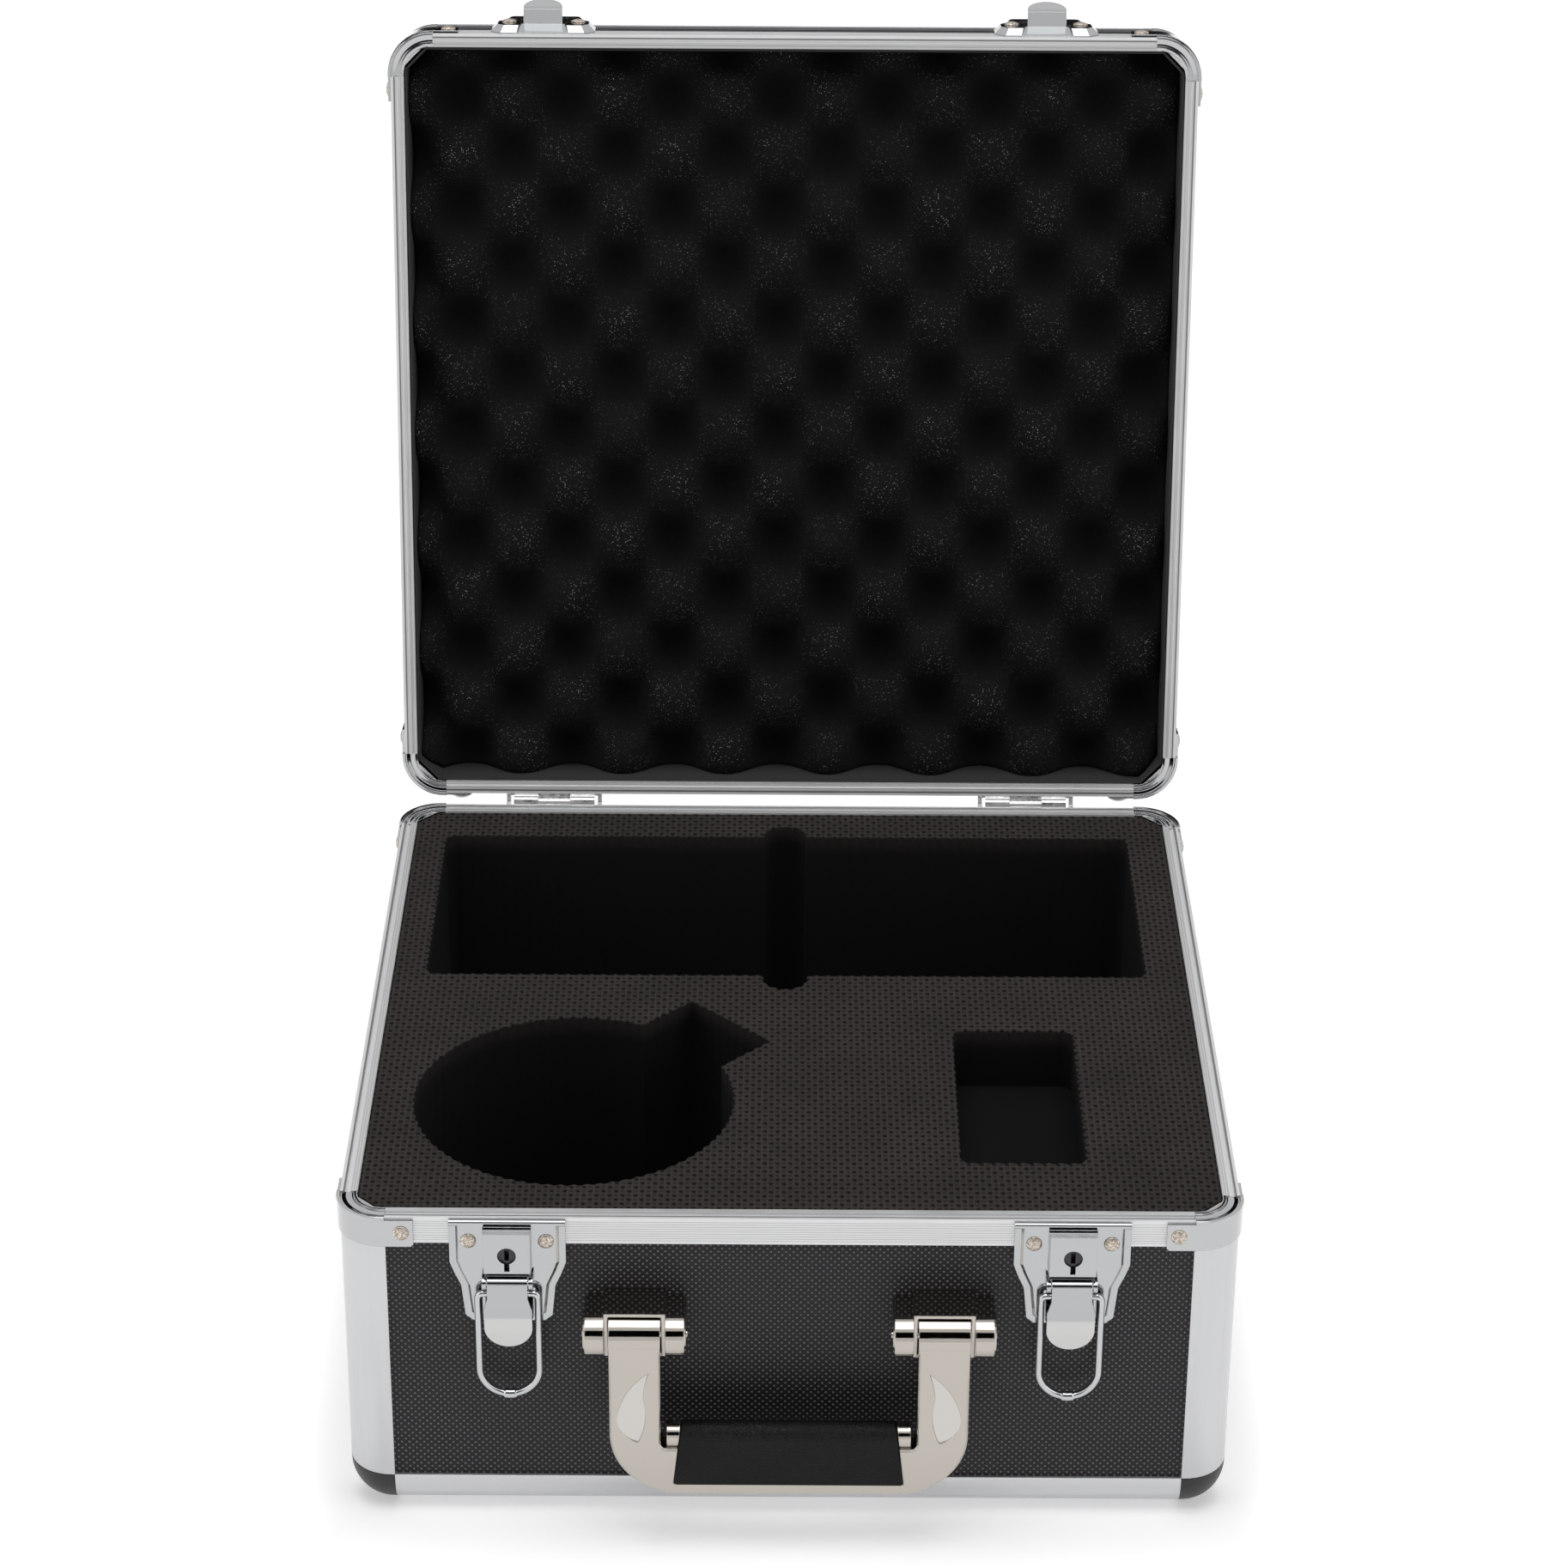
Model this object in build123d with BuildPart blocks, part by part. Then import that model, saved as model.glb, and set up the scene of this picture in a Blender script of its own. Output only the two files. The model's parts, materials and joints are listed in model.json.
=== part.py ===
from build123d import *

import os
from math import ceil, cos, radians, sin, sqrt, tan

# An aluminium-edged carrying case with a fitted foam insert, standing open. Sizes in millimetres.
# X runs to the right of someone facing the latches, Y to the back, Z up.
# The origin is the middle of the base's underside. The lid is modelled shut and then turned open.

# Case
case_width = 300.0
case_depth = 295.0
base_height = 120.0
lid_height = 40.0
seam_gap = 0.3
open_angle = 99.5
fit = 0.1

# Rounded edge extrusions and the boards they hold
edge_radius = 15.0
edge_leg = 16.0
edge_lip = 1.2
edge_inner_lip = 1.0
slot_floor = 12.0
base_board = 3.5
lid_board = 2.5

# Rim profiles along the parting line
rim_band = 10.0
rim_web = 2.2
rim_inner_leg = 8.0
seal_inset = 2.6
groove_width = 2.0
groove_depth = 1.0
tongue_width = 1.4
tongue_reach = 0.9

# Chromed brackets on the rim's corners
bracket_skin = 1.0
bracket_seat = 0.05
bracket_band = 11.0
bracket_reach = 25.4
bracket_web = 0.9
bracket_ridge = 0.5
bracket_ridge_width = 1.1
bracket_diagonal = 7.4
bracket_tab_drop = 1.0
bracket_tab_cut = 0.9

# Rivets and glide feet
rivet_head_radius = 2.65
rivet_head_height = 1.1
rivet_head_slope = 48.0
rivet_head_sides = 8
rivet_shank_flat = 1.45
rivet_hole_clearance = 0.05
rivet_inset = 21.4
rivet_drop = 5.6
foot_radius = 4.6
foot_height = 2.5
foot_slope = 52.0
foot_sides = 16

# Foam insert of the base
foam_clearance = 0.3
foam_below_rim = 0.5
foam_corner_cut = 8.0
insert_thickness = 85.0
slot_pocket_length = 262.0
slot_pocket_width = 107.5
slot_pocket_x = -1.4
slot_pocket_y = 69.2
cross_pocket_width = 16.5
cross_pocket_length = 126.0
cross_pocket_x = -1.8
cross_pocket_y = 68.4
round_pocket_radius = 55.5
round_pocket_x = -74.7
round_pocket_y = -71.0
spout_width = 40.0
spout_reach = 76.0
spout_angle = 45.0
small_pocket_length = 88.0
small_pocket_width = 43.0
small_pocket_depth = 23.0
small_pocket_x = 79.0
small_pocket_y = -67.3

# Convoluted foam and lining of the lid
lining_thickness = 0.8
lining_drop = 1.2
crate_peak_drop = 5.0
crate_height = 17.0
crate_pitch_x = 40.0
crate_pitch_y = 43.0
crate_x = -5.5
crate_from_hinge_side = 33.5
crate_foot_gap = 0.6
crate_tip_width = 8.0

# Hinges on the back
hinge_spacing = 184.0
hinge_offset = 3.0
hinge_barrel_length = 31.4
hinge_middle_knuckle = 12.3
hinge_side_gap = 0.15
hinge_barrel_radius = 1.8
hinge_barrel_sides = 12
hinge_pin_radius = 1.0
hinge_pin_clearance = 0.04
hinge_leaf_width = 37.0
hinge_leaf_thickness = 1.2
hinge_leaf_height = 23.0
hinge_leaf_below_axis = 1.7
hinge_ear_thickness = 1.5
hinge_ear_reach = 5.0
hinge_ear_clearance = 0.1
hinge_rivet_spacing = 20.0
hinge_rivet_drop = 17.0

# Draw latches on the front
latch_spacing = 187.0
latch_plate_outline = [
    (19.3, 1.1),
    (19.3, 16.5),
    (17.9, 20.5),
    (15.7, 25.6),
    (14.5, 37.4),
    (12.0, 39.5),
]
latch_plate_top_drop = 0.2
latch_sheet = 1.2
latch_plate_depth = 2.2
latch_panel_inset = 2.2
latch_panel_bevel = 0.9
latch_roll_radius = 1.1
latch_rivet_spacing = 25.7
latch_rivet_drop = 7.7
lock_box_width = 16.2
lock_box_top_drop = 2.3
lock_box_height = 16.0
lock_box_depth = 4.3
lock_box_bevel = 4.0
lock_plug_radius = 3.05
lock_plug_drop = 11.0
lock_plug_length = 5.0
lock_plug_recess = 0.8
lock_plug_clearance = 0.05
key_slot_width = 1.5
key_slot_height = 4.2
key_slot_depth = 3.0
key_bit_width = 1.7
key_bit_reach = 6.0
lever_pivot_drop = 22.5
lever_knuckle_radius = 2.6
lever_knuckle_clearance = 0.3
lever_top_width = 13.4
lever_width = 16.0
lever_shoulder = 4.6
lever_flare = 4.6
lever_length = 24.8
lever_crease = 8.5
lever_thickness = 1.2
lever_tip_tuck = 2.0
lever_cheek = 1.2
lever_stop_gap = 0.1
lever_ear_gap = 0.3
ear_thickness = 1.45
ear_radius = 2.2
lever_pin_radius = 1.0
lever_pin_clearance = 0.04
bail_pivot_below = 4.0
bail_wire_radius = 1.2
bail_wire_sides = 8
bail_loop_runs = 12
bail_bend_runs = 3
bail_width = 20.0
bail_drop = 40.0
bail_top_bend = 1.8
bail_hole_clearance = 0.05
weld_radius = 1.7
weld_length = 3.6

# Catches on the lid
catch_outline = [
    (15.5, 0),
    (19.3, 4.5),
    (19.3, 14.0),
    (16.5, 18.5),
    (15.0, 27.0),
    (12.5, 29.0),
]
catch_bottom_rise = 0.5
catch_depth = 3.0
catch_bevel = 2.4
catch_rivet_rise = 12.2
hook_width = 14.4
hook_thickness = 1.5
hook_floor_reach = 7.7
hook_lip_height = 7.0
hook_lip_splay = 15.0
catch_ramp_foot = 9.6
catch_ramp_head = 8.0
catch_ramp_edge = 0.3
hook_wire_clearance = 0.6

# Handle
handle_spacing = 102.6
handle_pivot_height = 82.2
handle_pivot_out = 11.5
handle_hub_clearance = 0.6
handle_pin_radius = 1.2
handle_pin_clearance = 0.04
handle_pin_stand_out = 0.4
lug_radius = 7.3
lug_thickness = 6.9
lug_spacing = 27.3
lug_edge_cut = 0.7
cheek_thickness = 1.35
cheek_front_rise = 3.0
mount_top_reach = 14.5
mount_top_lip = 1.1
mount_top_gap = 0.35
mount_bottom_lip = 1.4
mount_bottom_gap = 0.4
mount_stop_gap = 0.1
mount_stud_flat = 2.0
mount_stud_spacing = 12.0
arm_width = 17.1
frame_front = 19.5
frame_thickness = 9.0
frame_bottom = 22.6
frame_bend = 24.0
frame_strip = 4.5
frame_edge_cut = 0.7
frame_shoulder = 41.0
frame_notch = 2.0
collar_radius = 4.6
facet_tilt = 3.5
facet_outline = [
    (46.5, 71.7),
    (54.4, 62.9),
    (57.4, 53.0),
    (55.4, 47.5),
    (50.2, 43.8),
    (48.0, 51.5),
    (48.5, 61.0),
    (47.9, 66.8),
]
grip_foot_length = 77.2
grip_top_length = 72.4
grip_end_gap = 0.05
grip_front = 20.3
grip_back = 9.3
grip_top = 49.2
grip_roll_radius = 4.9

half_width = case_width / 2
half_depth = case_depth / 2
lid_rim_level = base_height + seam_gap
total_height = lid_rim_level + lid_height
board_face = edge_lip + fit
axis_y = half_depth + hinge_offset
axis_z = base_height

# Where each side wall stands: x along the wall, y up and z outwards
sides = {
    "front": Plane(origin=(0, -half_depth, 0), x_dir=(1, 0, 0), z_dir=(0, -1, 0)),
    "right": Plane(origin=(half_width, 0, 0), x_dir=(0, 1, 0), z_dir=(1, 0, 0)),
    "back": Plane(origin=(0, half_depth, 0), x_dir=(-1, 0, 0), z_dir=(0, 1, 0)),
    "left": Plane(origin=(-half_width, 0, 0), x_dir=(0, -1, 0), z_dir=(-1, 0, 0)),
}
side_length = {"front": case_width, "right": case_depth, "back": case_width, "left": case_depth}

frame_back = frame_front - frame_thickness
hub_radius = frame_front - handle_pivot_out

# The lid's turn from shut to open about the hinge axis
lid_turn = (
    Location((0, axis_y, axis_z))
    * Location((0, 0, 0), (-open_angle, 0, 0))
    * Location((0, -axis_y, -axis_z))
)

os.makedirs("parts", exist_ok=True)


def keep(piece, name):
    """Label a finished piece and write its file."""
    piece.part.label = name
    export_step(piece.part, f"parts/{name}.step")


def keep_on_lid(piece, name):
    """The same for a piece of the lid, which is first turned open with it."""
    piece.part.move(lid_turn)
    keep(piece, name)


def board_back(board):
    """How far a board's inner face lies from the case's outer face."""
    return board_face + board


def rim_width(board):
    return board_back(board) + fit + edge_inner_lip


def side_points(side, points, out=0.0):
    """Places on a side wall at (along, height), facing outwards."""
    return [sides[side].offset(out).location * Location((x, y, 0)) for x, y in points]


def flat_sided_holes(places, flat):
    """Six-sided prisms to cut through what a rivet or stud passes, with its clearance."""
    with BuildPart(mode=Mode.PRIVATE) as hole:
        with BuildSketch():
            RegularPolygon(flat + rivet_hole_clearance, 6, major_radius=False)
        extrude(amount=edge_leg, both=True)
    return [hole.part.moved(place) for place in places]


def tab_points(side, level):
    """The two places on a side where the corner brackets are riveted."""
    along = side_length[side] / 2 - rivet_inset
    return [(-along, level), (along, level)]


# Rivet places, as (along, height) on each side
latch_rivets = [
    (sx * latch_spacing / 2 + dx * latch_rivet_spacing / 2, base_height - latch_rivet_drop)
    for sx in (-1, 1)
    for dx in (-1, 1)
]
catch_rivets = [(x, lid_rim_level + catch_rivet_rise) for x, y in latch_rivets]
hinge_base_rivets = [
    (sx * hinge_spacing / 2 + dx * hinge_rivet_spacing / 2, axis_z - hinge_rivet_drop)
    for sx in (-1, 1)
    for dx in (-1, 1)
]
hinge_lid_rivets = [(x, 2 * axis_z - y) for x, y in hinge_base_rivets]
mount_studs = [
    (sx * handle_spacing / 2, handle_pivot_height + dy * mount_stud_spacing / 2)
    for sx in (-1, 1)
    for dy in (-1, 1)
]
base_tab_level = base_height - rivet_drop
lid_tab_level = lid_rim_level + rivet_drop
base_rivets = {s: tab_points(s, base_tab_level) for s in sides}
base_rivets["front"] = base_rivets["front"] + latch_rivets
lid_rivets = {s: tab_points(s, lid_tab_level) for s in sides}
board_rivets = {
    "base": {**base_rivets, "back": base_rivets["back"] + hinge_base_rivets},
    "lid": {
        **lid_rivets,
        "front": lid_rivets["front"] + catch_rivets,
        "back": lid_rivets["back"] + hinge_lid_rivets,
    },
}


# Side boards
def side_board(side, low, high, board, rivets, studs=()):
    """One wall board, its edges in the slots of the extrusions around it."""
    with BuildPart() as piece:
        with BuildSketch(sides[side].offset(-board_face)):
            with Locations((0, (low + high) / 2)):
                Rectangle(side_length[side] - 2 * (slot_floor + fit), high - low)
        extrude(amount=-board)
        add(flat_sided_holes(side_points(side, rivets), rivet_shank_flat), mode=Mode.SUBTRACT)
        if studs:
            add(flat_sided_holes(side_points(side, studs), mount_stud_flat), mode=Mode.SUBTRACT)
    return piece


base_board_low = slot_floor + fit
base_board_high = base_height - rim_web - fit
lid_board_low = lid_rim_level + rim_web + fit
lid_board_high = total_height - slot_floor - fit
for side in sides:
    studs = mount_studs if side == "front" else ()
    board = side_board(
        side, base_board_low, base_board_high, base_board, board_rivets["base"][side], studs
    )
    keep(board, f"base_{side}_board")
    board = side_board(side, lid_board_low, lid_board_high, lid_board, board_rivets["lid"][side])
    keep_on_lid(board, f"lid_{side}_board")

# Bottom board, rebated so that its middle stands flush with the extrusions it rests beside
with BuildPart() as bottom_board:
    with BuildSketch(Plane.XY.offset(board_face)):
        Rectangle(case_width - 2 * (slot_floor + fit), case_depth - 2 * (slot_floor + fit))
    extrude(amount=base_board)
    with BuildSketch(Plane.XY):
        Rectangle(case_width - 2 * (edge_leg + fit), case_depth - 2 * (edge_leg + fit))
    extrude(amount=board_face)
keep(bottom_board, "base_bottom_board")

# Top board of the lid
with BuildPart() as top_board:
    with BuildSketch(Plane.XY.offset(total_height - board_face)):
        Rectangle(case_width - 2 * (slot_floor + fit), case_depth - 2 * (slot_floor + fit))
    extrude(amount=-lid_board)
keep_on_lid(top_board, "lid_top_board")


# Rounded edge extrusions
def edge_section(board):
    """Section of an extrusion: outer corner at the origin, legs along +x and +y, a slot in each leg."""
    back = board_back(board) + fit
    rim = rim_width(board)
    bulge = edge_radius * (1 - sqrt(0.5))
    with BuildSketch(mode=Mode.PRIVATE) as section:
        with BuildLine():
            Line((edge_leg, 0), (edge_radius, 0))
            ThreePointArc((edge_radius, 0), (bulge, bulge), (0, edge_radius))
            Polyline(
                (0, edge_radius),
                (0, edge_leg),
                (edge_lip, edge_leg),
                (edge_lip, slot_floor),
                (back, slot_floor),
                (back, edge_leg),
                (rim, edge_leg),
                (rim, rim),
                (edge_leg, rim),
                (edge_leg, back),
                (slot_floor, back),
                (slot_floor, edge_lip),
                (edge_leg, edge_lip),
                (edge_leg, 0),
            )
        make_face()
    return section.sketch


def corner_posts(board, low, high):
    with BuildPart() as piece:
        with BuildSketch(Plane((-half_width, -half_depth, low))):
            add(edge_section(board))
        extrude(amount=high - low)
        mirror(about=Plane.YZ)
        mirror(about=Plane.XZ)
    return piece


def edge_frame(board, level, up):
    """The four level extrusions round the bottom (up 1) or the top (up -1) of the case."""
    run_x = case_width - 2 * edge_leg
    run_y = case_depth - 2 * edge_leg
    front = Plane((-up * run_x / 2, -half_depth, level), x_dir=(0, 1, 0), z_dir=(up, 0, 0))
    left = Plane((-half_width, up * run_y / 2, level), x_dir=(1, 0, 0), z_dir=(0, -up, 0))
    with BuildPart() as piece:
        with BuildSketch(front):
            add(edge_section(board))
        extrude(amount=run_x)
        mirror(about=Plane.XZ)
        with BuildSketch(left):
            add(edge_section(board))
        side_run = extrude(amount=run_y)
        mirror(side_run, about=Plane.YZ)
    return piece


rim_plate = bracket_web + bracket_ridge
keep(corner_posts(base_board, edge_leg, base_height - rim_plate), "base_corner_posts")
keep(edge_frame(base_board, 0, 1), "base_bottom_edges")
lid_posts = corner_posts(lid_board, lid_rim_level + rim_plate, total_height - edge_leg)
keep_on_lid(lid_posts, "lid_corner_posts")
keep_on_lid(edge_frame(lid_board, total_height, -1), "lid_top_edges")


# Moulded black corner caps, where three extrusions meet
def corner_caps(board):
    rim = rim_width(board)
    corner = Vector(-half_width, -half_depth, 0)
    low = (Align.MIN, Align.MIN, Align.MIN)
    slot = edge_leg - slot_floor
    inside = edge_leg - edge_lip
    with BuildPart() as piece:
        with Locations(corner):
            Box(edge_leg, edge_leg, edge_leg, align=low)
        fillet(piece.edges().sort_by_distance(corner)[:3], edge_radius)
        with Locations(corner + Vector(slot_floor, edge_lip, slot_floor)):
            Box(slot, inside, slot, align=low, mode=Mode.SUBTRACT)
        with Locations(corner + Vector(edge_lip, slot_floor, slot_floor)):
            Box(inside, slot, slot, align=low, mode=Mode.SUBTRACT)
        with Locations(corner + Vector(slot_floor, slot_floor, edge_lip)):
            Box(slot, slot, inside, align=low, mode=Mode.SUBTRACT)
        with Locations(corner + Vector(rim, rim, rim)):
            Box(edge_leg, edge_leg, edge_leg, align=low, mode=Mode.SUBTRACT)
        mirror(about=Plane.YZ)
        mirror(about=Plane.XZ)
    return piece


keep(corner_caps(base_board), "base_corner_caps")
lid_caps = corner_caps(lid_board)
with lid_caps:
    mirror(about=Plane.XY.offset(total_height / 2), mode=Mode.REPLACE)
keep_on_lid(lid_caps, "lid_corner_caps")


# Rim profiles along the parting line
def rim_bar(side, board, level, up, rivets):
    """A straight rim profile that grips the board's edge. The base's has a groove, the lid's a tongue."""
    back = board_back(board) + fit
    rim = rim_width(board)
    along = sides[side].x_dir
    inward = -sides[side].z_dir
    run = side_length[side] - 2 * edge_leg
    start = sides[side].origin + Vector(0, 0, level) - along * (run / 2)
    half_seal = (groove_width if up < 0 else tongue_width) / 2
    seal = -groove_depth if up < 0 else -tongue_reach
    with BuildPart() as piece:
        with BuildSketch(Plane(start, x_dir=inward, z_dir=along)):
            with BuildLine():
                Polyline(
                    (0, 0),
                    (0, up * rim_band),
                    (edge_lip, up * rim_band),
                    (edge_lip, up * rim_web),
                    (back, up * rim_web),
                    (back, up * rim_inner_leg),
                    (rim, up * rim_inner_leg),
                    (rim, 0),
                    (seal_inset + half_seal, 0),
                    (seal_inset + half_seal, seal),
                    (seal_inset - half_seal, seal),
                    (seal_inset - half_seal, 0),
                    close=True,
                )
            make_face()
        extrude(amount=run)
        add(flat_sided_holes(side_points(side, rivets), rivet_shank_flat), mode=Mode.SUBTRACT)
    return piece


for side in sides:
    bar = rim_bar(side, base_board, base_height, -1, base_rivets[side])
    keep(bar, f"base_{side}_rim")
    bar = rim_bar(side, lid_board, lid_rim_level, 1, lid_rivets[side])
    keep_on_lid(bar, f"lid_{side}_rim")


# Chromed corner brackets
def around_corner(near, far, reach):
    """Outline of a strip that follows the rounded corner between two distances from its faces."""
    near_radius = edge_radius - near
    far_radius = edge_radius - far
    diagonal = sqrt(0.5)
    with BuildSketch(mode=Mode.PRIVATE) as strip:
        with BuildLine():
            Line((reach, near), (edge_radius, near))
            ThreePointArc(
                (edge_radius, near),
                (edge_radius - near_radius * diagonal, edge_radius - near_radius * diagonal),
                (near, edge_radius),
            )
            Polyline((near, edge_radius), (near, reach), (far, reach), (far, edge_radius))
            ThreePointArc(
                (far, edge_radius),
                (edge_radius - far_radius * diagonal, edge_radius - far_radius * diagonal),
                (edge_radius, far),
            )
            Polyline((edge_radius, far), (reach, far), (reach, near))
        make_face()
    return strip.sketch


def rim_brackets(board, level, up, tab_level):
    """Four brackets: a band round the outside with two tabs, a ridged web over the rim's corner."""
    rim = rim_width(board)
    corner = Plane((-half_width, -half_depth, level))
    outer = -bracket_skin - bracket_seat
    outer_bulge = edge_radius - (edge_radius - outer) * sqrt(0.5)
    tab_face = bracket_band - bracket_tab_drop
    with BuildPart() as piece:
        with BuildSketch(corner.offset(up * bracket_ridge)):
            with BuildLine():
                Line((edge_leg, outer), (edge_radius, outer))
                ThreePointArc(
                    (edge_radius, outer), (outer_bulge, outer_bulge), (outer, edge_radius)
                )
                Polyline(
                    (outer, edge_radius),
                    (outer, edge_leg),
                    (rim, edge_leg),
                    (rim, rim + bracket_diagonal),
                    (rim + bracket_diagonal, rim),
                    (edge_leg, rim),
                    (edge_leg, outer),
                )
            make_face()
        extrude(amount=up * bracket_web)
        for near in (outer, rim - bracket_ridge_width):
            far = near + bracket_ridge_width
            with BuildSketch(corner):
                add(around_corner(near, far, edge_leg))
            extrude(amount=up * bracket_ridge)
        with BuildSketch(corner.offset(up * bracket_ridge)):
            add(around_corner(outer, -bracket_seat, edge_leg))
        extrude(amount=up * (bracket_band - bracket_ridge))
        with BuildSketch(corner.offset(up * bracket_tab_drop)):
            add(around_corner(outer, -bracket_seat, bracket_reach))
        extrude(amount=up * tab_face)
        far_edge = level + up * bracket_band
        ends = [
            e
            for e in piece.edges()
            if abs(e.center().Z - far_edge) < 0.01
            and abs(e.length - bracket_skin) < 0.01
        ]
        chamfer(ends, bracket_tab_cut)
        tabs = side_points("front", [(-half_width + rivet_inset, tab_level)])
        tabs += side_points("left", [(half_depth - rivet_inset, tab_level)])
        add(flat_sided_holes(tabs, rivet_shank_flat), mode=Mode.SUBTRACT)
        mirror(about=Plane.YZ)
        mirror(about=Plane.XZ)
    return piece


keep(rim_brackets(base_board, base_height, -1, base_tab_level), "base_rim_brackets")
keep_on_lid(rim_brackets(lid_board, lid_rim_level, 1, lid_tab_level), "lid_rim_brackets")


# Rivets, and the domed glide feet on the hinge side
def headed_pins(places, head, shank):
    """Rivets seated at the places, from a head's (radius, height, slope, sides) and a shank length."""
    radius, height, slope, head_sides = head
    with BuildPart(mode=Mode.PRIVATE) as pin:
        with BuildSketch():
            RegularPolygon(radius, head_sides)
        extrude(amount=height, taper=slope)
        with BuildSketch():
            RegularPolygon(rivet_shank_flat, 6, major_radius=False)
        extrude(amount=-shank)
    return [pin.part.moved(place) for place in places]


def rivet_set(groups):
    """One node of rivets, from (places, head, shank) groups."""
    with BuildPart() as piece:
        for group in groups:
            add(headed_pins(*group))
    return piece


rivet_head = (rivet_head_radius, rivet_head_height, rivet_head_slope, rivet_head_sides)
foot_head = (foot_radius, foot_height, foot_slope, foot_sides)
tab_seat = bracket_skin + bracket_seat
base_rim_width = rim_width(base_board)
lid_rim_width = rim_width(lid_board)


def tab_places(level, names):
    return [p for s in names for p in side_points(s, tab_points(s, level), tab_seat)]


bracket_sides = ("front", "left", "right")
leaf_seat = hinge_leaf_thickness - board_face
latch_places = side_points("front", latch_rivets, latch_plate_depth)
catch_places = side_points("front", catch_rivets, catch_depth)
base_leaf_places = side_points("back", hinge_base_rivets, leaf_seat)
lid_leaf_places = side_points("back", hinge_lid_rivets, leaf_seat)
base_rivet_set = rivet_set(
    [
        (tab_places(base_tab_level, bracket_sides), rivet_head, tab_seat + base_rim_width),
        (latch_places, rivet_head, latch_plate_depth + base_rim_width),
        (base_leaf_places, rivet_head, leaf_seat + board_back(base_board)),
    ]
)
keep(base_rivet_set, "base_rivets")
lid_rivet_set = rivet_set(
    [
        (tab_places(lid_tab_level, bracket_sides), rivet_head, tab_seat + lid_rim_width),
        (catch_places, rivet_head, catch_depth + board_back(lid_board)),
        (lid_leaf_places, rivet_head, leaf_seat + board_back(lid_board)),
    ]
)
keep_on_lid(lid_rivet_set, "lid_rivets")
base_foot_places = tab_places(base_tab_level, ("back",))
keep(rivet_set([(base_foot_places, foot_head, tab_seat + base_rim_width)]), "base_glide_feet")
lid_foot_places = tab_places(lid_tab_level, ("back",))
lid_feet = rivet_set([(lid_foot_places, foot_head, tab_seat + lid_rim_width)])
keep_on_lid(lid_feet, "lid_glide_feet")

# Foam insert of the base: a cut block over a plain pad
foam_width = case_width - 2 * (base_rim_width + foam_clearance)
foam_depth = case_depth - 2 * (base_rim_width + foam_clearance)
foam_low = base_rim_width + foam_clearance
foam_top = base_height - foam_below_rim


def foam_outline(width, depth, cut):
    with BuildSketch(mode=Mode.PRIVATE) as outline:
        Rectangle(width, depth)
        chamfer(outline.vertices(), cut)
    return outline.sketch


with BuildPart() as foam_insert:
    with BuildSketch(Plane.XY.offset(foam_top)):
        add(foam_outline(foam_width, foam_depth, foam_corner_cut))
    extrude(amount=-insert_thickness)
    with BuildSketch(Plane.XY.offset(foam_top)):
        with Locations((slot_pocket_x, slot_pocket_y)):
            Rectangle(slot_pocket_length, slot_pocket_width)
        with Locations((cross_pocket_x, cross_pocket_y)):
            SlotOverall(cross_pocket_length, cross_pocket_width, rotation=90)
        with Locations((round_pocket_x, round_pocket_y)):
            Circle(round_pocket_radius)
        spout_middle = Location((round_pocket_x, round_pocket_y, 0), (0, 0, spout_angle))
        with Locations(spout_middle * Location((spout_reach / 2, 0, 0))):
            Rectangle(spout_reach, spout_width)
    extrude(amount=-insert_thickness, mode=Mode.SUBTRACT)
    with BuildSketch(Plane.XY.offset(foam_top)):
        with Locations((small_pocket_x, small_pocket_y)):
            Rectangle(small_pocket_width, small_pocket_length)
    extrude(amount=-small_pocket_depth, mode=Mode.SUBTRACT)
keep(foam_insert, "base_foam_insert")

with BuildPart() as foam_pad:
    with BuildSketch(Plane.XY.offset(foam_low)):
        add(foam_outline(foam_width, foam_depth, foam_corner_cut))
    extrude(amount=foam_top - insert_thickness - foam_low)
keep(foam_pad, "base_foam_pad")

# Lining and convoluted foam of the lid
lining_width = case_width - 2 * (lid_rim_width + foam_clearance)
lining_depth = case_depth - 2 * (lid_rim_width + foam_clearance)
lining_low = lid_rim_level + lining_drop
lid_inside_top = total_height - lid_rim_width - foam_clearance
with BuildPart() as lining:
    with BuildSketch(Plane.XY.offset(lining_low)):
        add(foam_outline(lining_width, lining_depth, foam_corner_cut))
        add(
            foam_outline(
                lining_width - 2 * lining_thickness,
                lining_depth - 2 * lining_thickness,
                foam_corner_cut - lining_thickness * (2 - sqrt(2)),
            ),
            mode=Mode.SUBTRACT,
        )
    extrude(amount=lid_inside_top - lining_low)
keep_on_lid(lining, "lid_lining")

crate_width = lining_width - 2 * (lining_thickness + foam_clearance)
crate_depth = lining_depth - 2 * (lining_thickness + foam_clearance)
crate_tip_level = lid_rim_level + crate_peak_drop
crate_valley_level = crate_tip_level + crate_height
crate_foot_x = crate_pitch_x / 2 - crate_foot_gap
crate_foot_y = crate_pitch_y / 2 - crate_foot_gap


def crate_tips():
    """Places of the foam's tips: two interlaced grids, as wide apart as the pitches."""
    first_y = half_depth - crate_from_hinge_side
    across = ceil(crate_width / crate_pitch_x) + 1
    along = ceil(crate_depth / crate_pitch_y) + 1
    for row in range(-2 * along, 2 * along):
        for column in range(-across, across):
            x = crate_x + (column + row % 2 / 2) * crate_pitch_x
            y = first_y + row / 2 * crate_pitch_y
            inside_x = abs(x) < (crate_width - crate_foot_x) / 2 - crate_foot_gap
            inside_y = abs(y) < (crate_depth - crate_foot_y) / 2 - crate_foot_gap
            if inside_x and inside_y:
                yield x, y


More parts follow.
